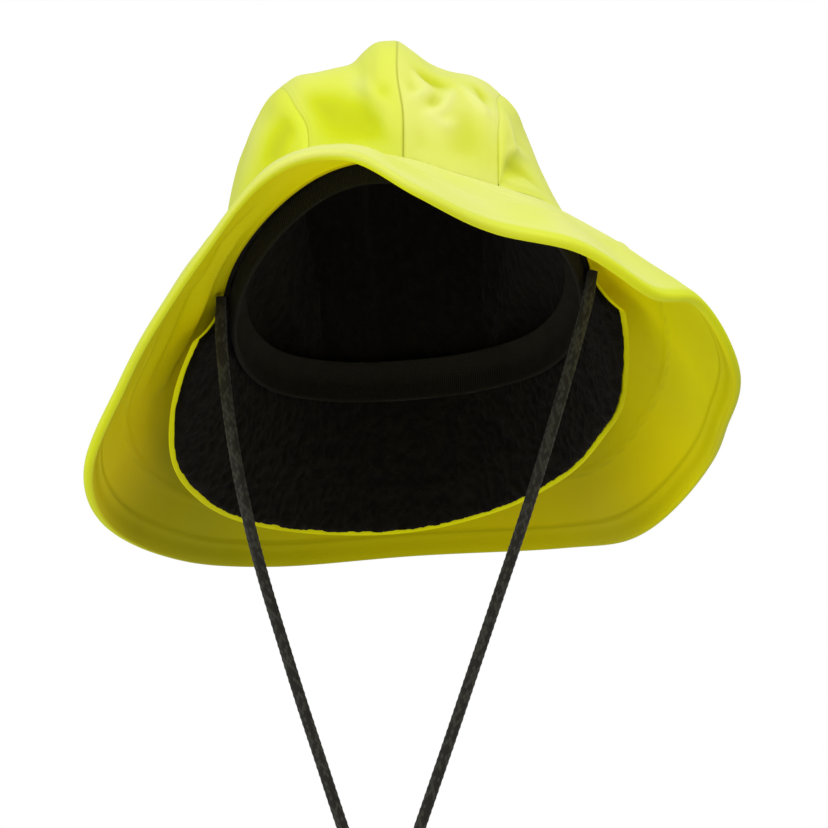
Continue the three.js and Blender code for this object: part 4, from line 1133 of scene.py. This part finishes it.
def liningShape(along, across, depth):
    # across the head in quarters: left side, left top, right top, right side
    points = np.zeros((*along.shape, 3))
    start = hat["shoulderStart"]
    quarter = np.minimum(np.floor(across * 4).astype(int), 3)
    within = across * 4 - quarter
    for k in range(4):
        side = "left" if k < 2 else "right"
        kind = "side" if k in (0, 3) else "top"
        mask = quarter == k
        a = along[mask]
        share = within[mask] if k in (0, 2) else 1 - within[mask]
        rise = np.minimum(np.minimum(a, 1 - a) / lining["ease"], 1)
        if kind == "side":
            rise = np.minimum(np.maximum(share - lining["hold"], 0) / lining["ease"], 1) * rise
        hollowed = np.maximum(-swellAt(kind, side, a, share), 0)
        offset = hat["cloth"] + hat["gap"] + rise * lining["slack"] + hollowed + depth[mask]
        normal = plainNormal(kind, side, a, share)
        if kind == "top":  # both halves share one direction on the ridge
            normal[..., 0] *= 1 - smoothStep(lining["ridgeWidth"], 0.0, share)
        one = np.ones_like(a)
        shoulder = unit(plainNormal("top", side, a, one) + plainNormal("side", side, a, one))
        near = smoothStep(lining["shoulderFrom"], 1.0, share)[..., None]
        normal = unit(unit(normal) * (1 - near) + shoulder * near)
        inside = plainPanel[kind](side, a, share) - normal * offset[..., None]
        turn = np.full_like(share, start) if kind == "side" else start * share
        atRim = smoothStep(lining["endWidth"], 0.0, np.minimum(a, 1 - a))
        endAzimuth = sideSign(side) * np.where(a < 0.5, turn, 180 - turn)
        rimEdge = rimPoint(endAzimuth, offset, -hat["cloth"])
        if kind == "side":
            low = smoothStep(lining["lowWidth"], 0.0, share)
            lowEdge = rimPoint(sideAzimuth(side, a), offset, -hat["cloth"])
            inside = inside * (1 - low)[..., None] + lowEdge * low[..., None]
        points[mask] = inside * (1 - atRim)[..., None] + rimEdge * atRim[..., None]
    return points


def tuftTone(tufts):
    return np.stack([0.5 + 0.5 * np.clip(tufts, -1, 1)] * 3, axis=-1)


def makeLining():
    rows, columns = np.linspace(0, 1, lining["rows"]), np.linspace(0, 1, lining["columns"])
    along, across = np.meshgrid(rows, columns, indexing="ij")
    outer, inner = (
        liningShape(along, across, np.full_like(along, lining[face])) for face in ("backing", "wall")
    )
    tufts = layeredNoise(inner, lining["tufts"])
    inner = inner + unit(inner - outer) * (lining["pile"] * tufts)[..., None]
    tone = tuftTone(tufts)
    return wallPiece("crown_lining_fleece", worn(outer), worn(inner), tone, tone, 80)


def fleeceFinish(board, look):
    tuft, _, _ = board.tone()
    fuzz, curls = board.noise(*look["fuzz"]), board.noise(*look["curls"])
    return {
        "Base Color": board.mixColour(tuft * curls, look["deep"], look["tip"]),
        "Roughness": 1.0, "Specular IOR Level": 0.05, "Sheen Weight": 0.03, "Sheen Roughness": 0.7,
        "Normal": board.bump(fuzz * look["fuzzRelief"] + curls, *look["bump"]),
    }


fleeceLook = {
    "deep": (0.0015, 0.0012, 0.0008), "tip": (0.009, 0.0075, 0.004),
    "fuzz": (1500, 4.0, 0.7, 0.6), "curls": (420, 3.0, 0.6, 1.2), "fuzzRelief": 0.5, "bump": (0.8, 0.0007),
}

blackFleece = newFinish("black_fleece", fleeceFinish, fleeceLook)
liningPiece = makeLining()
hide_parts("crown_lining")
wear(liningPiece, blackFleece)
print("lining made")

# Neck flap: a yellow shell with a fleece inside that stops a little short of it

flap = {
    "length": 0.074, "start": 78, "flareAtTop": 0.5, "turns": 420, "spans": 52, "ease": 0.6, "steps": 12,
    "waves": (0.0006, 0.03, 51), "wavesFrom": 0.3, "edgeRoll": 0.0003, "edgeFrom": 0.94,
    "topTurn": 0.06, "hemWidth": 0.02,  # shares of the length: the turn at the top, the dark line at the hem
    "insideTone": 0.6,
    # painted shade on the shell's edge at the right temple: how dark, and the shares of the turn where it
    # fades
    "edgeShade": (0.55, 0.05, 0.2),
    "fleeceWall": 0.0025, "fleeceGap": 0.0008, "setback": 0.0015, "pile": 0.0009,
    "thinEdge": 0.35, "thinFrom": 0.97,
    "tufts": [(1, 0.0022, 63), (0.7, 0.0055, 64)],
    "ragged": 0.0006, "raggedLayers": [(0.6, 0.0035, 61), (0.4, 0.0012, 62)], "edgeLength": 0.4,
    "table": {
        "turn": [0, 0.039, 0.088, 0.157, 0.255, 0.377, 0.5, 0.623, 0.745, 0.843, 0.912, 0.961, 1],
        "length": [0.35, 0.52, 0.665, 0.71, 0.8, 0.92, 1, 1, 0.98, 0.95, 0.86, 0.63, 0.34],
        "flare": [33, 20, 12, 8, 8, 9, 8, 10, 14, 20, 27, 33, 37],
    },
}


def flapAzimuth(turn):
    return flap["start"] + (360 - 2 * flap["start"]) * turn


def flapPoint(turn, share, depth, setback, thickness, longer=0.0):
    # steps down along the cloth while it flares more and more
    azimuth = flapAzimuth(turn)
    whole = tableAt(flap["table"], "turn", turn, "length") * flap["length"]
    flare = tableAt(flap["table"], "turn", turn, "flare")
    kept = (whole - setback + longer) / whole
    out = outward(azimuth)
    point = rimPoint(azimuth, depth, -(hat["cloth"] + 2 * hat["gap"]))
    steps = flap["steps"]
    stride = whole * kept * share / steps
    for i in range(steps):
        angle = np.radians(flare * (flap["flareAtTop"] + (i + 0.5) / steps * share * kept))
        point = point + out * (stride * np.sin(angle))[..., None]
        point[..., 2] -= stride * np.cos(angle)
    angle = np.radians(flare * (flap["flareAtTop"] + share * kept)) * smoothStep(0, flap["topTurn"], share)
    normal = out * np.cos(angle)[..., None]
    normal[..., 2] += np.sin(angle)
    return point - normal * np.asarray(thickness)[..., None], normal


def makeFlapShell():
    turns, spans = np.linspace(0, 1, flap["turns"]), eased(flap["spans"], flap["ease"])
    turn, share = np.meshgrid(turns, spans, indexing="ij")
    zero = np.zeros_like(turn)
    outer, normal = flapPoint(turn, share, hat["gap"], 0.0, zero)
    inner, _ = flapPoint(turn, share, hat["gap"], 0.0, zero + hat["cloth"])
    waves = layeredNoise(outer, [flap["waves"]]) * smoothStep(0, flap["wavesFrom"], share)
    edge = smoothStep(flap["edgeFrom"], 1.0, share)
    outer = outer + normal * (waves - flap["edgeRoll"] * edge)[..., None]
    inner = inner + normal * (waves + flap["edgeRoll"] * edge)[..., None]
    edgeDark, fadeStart, fadeEnd = flap["edgeShade"]
    atTemple = edgeDark * smoothStep(fadeEnd, fadeStart, turn)
    hem = bell(share, flap["hemWidth"])
    outerTone = np.stack([zero + 1, np.maximum(hem, atTemple * edge), zero], axis=-1)
    within = flap["insideTone"]
    innerTone = np.stack([within + (1 - within) * atTemple, atTemple, zero], axis=-1)
    return wallPiece("neck_flap_cloth", worn(outer), worn(inner), outerTone, innerTone, 60)


def makeFlapFleece():
    turns, spans = np.linspace(0, 1, flap["turns"]), np.linspace(0, 1, flap["spans"])
    turn, share = np.meshgrid(turns, spans, indexing="ij")
    depth = hat["gap"] + hat["cloth"] + flap["fleeceGap"]
    zero = np.zeros_like(turn)
    around = stack(turn * flap["edgeLength"], zero, zero)
    ragged = flap["ragged"] * layeredNoise(around, flap["raggedLayers"])
    outer, _ = flapPoint(turn, share, depth, flap["setback"], zero, ragged)
    tufts = layeredNoise(outer, flap["tufts"])
    wall = flap["fleeceWall"] * (1 - flap["thinEdge"] * smoothStep(flap["thinFrom"], 1.0, share))
    inner, _ = flapPoint(turn, share, depth, flap["setback"], wall + flap["pile"] * tufts, ragged)
    tone = tuftTone(tufts)
    return wallPiece("neck_flap_pile", worn(outer), worn(inner), tone, tone, 80)


flapShell = makeFlapShell()
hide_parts("neck_flap_shell")
wear(flapShell, yellowCloth)
flapFleece = makeFlapFleece()
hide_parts("neck_flap_fleece")
wear(flapFleece, blackFleece)


def flapCut(setback):
    # the cut of a flap layer: its width along the rim, its longest length and its area
    turn = np.linspace(0, 1, 200)
    width = np.sum(np.linalg.norm(np.diff(rimPoint(flapAzimuth(turn)), axis=0), axis=1))
    lengths = tableAt(flap["table"], "turn", turn, "length") * flap["length"] - setback
    return width, float(np.max(lengths)), float(np.mean(lengths)) * width


for layer, setback in ((flapShell, 0.0), (flapFleece, flap["setback"])):
    cutWidth, cutLength, cutArea = flapCut(setback)
    flatSize, flatArea = (round(cutWidth, 3), round(cutLength, 3)), round(cutArea, 4)
    print(layer.name, "cut", *flatSize, flatArea)
print("neck flap made")

# Studio

studio = {
    "floorAt": -2.2, "floorSize": 30, "floor": {"low": (0.80, 0.80, 0.80), "high": (0.84, 0.84, 0.84)},
    "backdrop": 1.0, "skyTop": 0.62, "skySide": 0.5, "skyLow": 0.2,
    # name, place, aim, size, power, colour
    "lights": [
        ("key", (0.9, -1.5, 1.7), (0, 0, 0), 1.3, 19, (1, 1, 1)),
        ("fill", (-1.7, -0.9, 0.1), (0, 0, 0), 1.2, 9.5, (1, 1, 1)),
        ("warm", (0.6, -0.9, -0.8), (-0.08, 0, -0.02), 0.6, 2.3, (1.0, 0.72, 0.3)),
        ("low", (-0.9, -0.9, -0.7), (0.1, 0, -0.02), 0.8, 2.8, (1.0, 0.97, 0.8)),
        ("top", (0.5, -0.4, 1.9), (0.05, 0, 0), 0.9, 8, (1, 1, 1)),
    ],
}


def makeLight(name, place, aim, size, power, colour):
    data = bpy.data.lights.new(name, "AREA")
    data.size = size
    data.energy = power
    data.color = colour
    holder = link(name, data)
    holder.location = place
    holder.rotation_euler = (Vector(aim) - Vector(place)).to_track_quat("-Z", "Y").to_euler()


def makeWorld():
    world = bpy.data.worlds.new("studio")
    world.use_nodes = True
    bpy.context.scene.world = world
    board = Board(world.node_tree)
    way = board.add("ShaderNodeTexCoord", None, None, "Generated")
    height = board.add("ShaderNodeSeparateXYZ", None, {"Vector": way}, "Z")
    share = height * 0.5 + 0.5  # 0 straight down, 1 straight up
    low, side, top = ((studio[name],) * 3 for name in ("skyLow", "skySide", "skyTop"))
    sky = board.add("ShaderNodeValToRGB", {"stops": [(0.25, low), (0.55, side), (1.0, top)]}, {"Fac": share})
    seen = board.add("ShaderNodeLightPath", None, None, "Is Camera Ray")
    colour = board.mixColour(seen, sky, (studio["backdrop"],) * 3)
    light = board.add("ShaderNodeBackground", None, {"Color": colour, "Strength": 1.0})
    board.add("ShaderNodeOutputWorld", None, {"Surface": light})


def floorFinish(board, look):
    mottle = board.noise(1.5, 2.0, 0.5)
    return {"Base Color": board.mixColour(mottle, look["low"], look["high"]), "Roughness": 0.9}


def makeFloor():
    half = studio["floorSize"] / 2
    corners = [(x * half, y * half, studio["floorAt"]) for x, y in ((-1, -1), (1, -1), (1, 1), (-1, 1))]
    mesh = smoothMesh("floor", corners, [(0, 1, 2, 3)])
    mesh.materials.append(newFinish("pale_floor", floorFinish, studio["floor"]))
    link("floor", mesh)


makeWorld()
makeFloor()
for light in studio["lights"]:
    makeLight(*light)
bpy.context.scene.view_settings.view_transform = "Standard"
print("studio set")
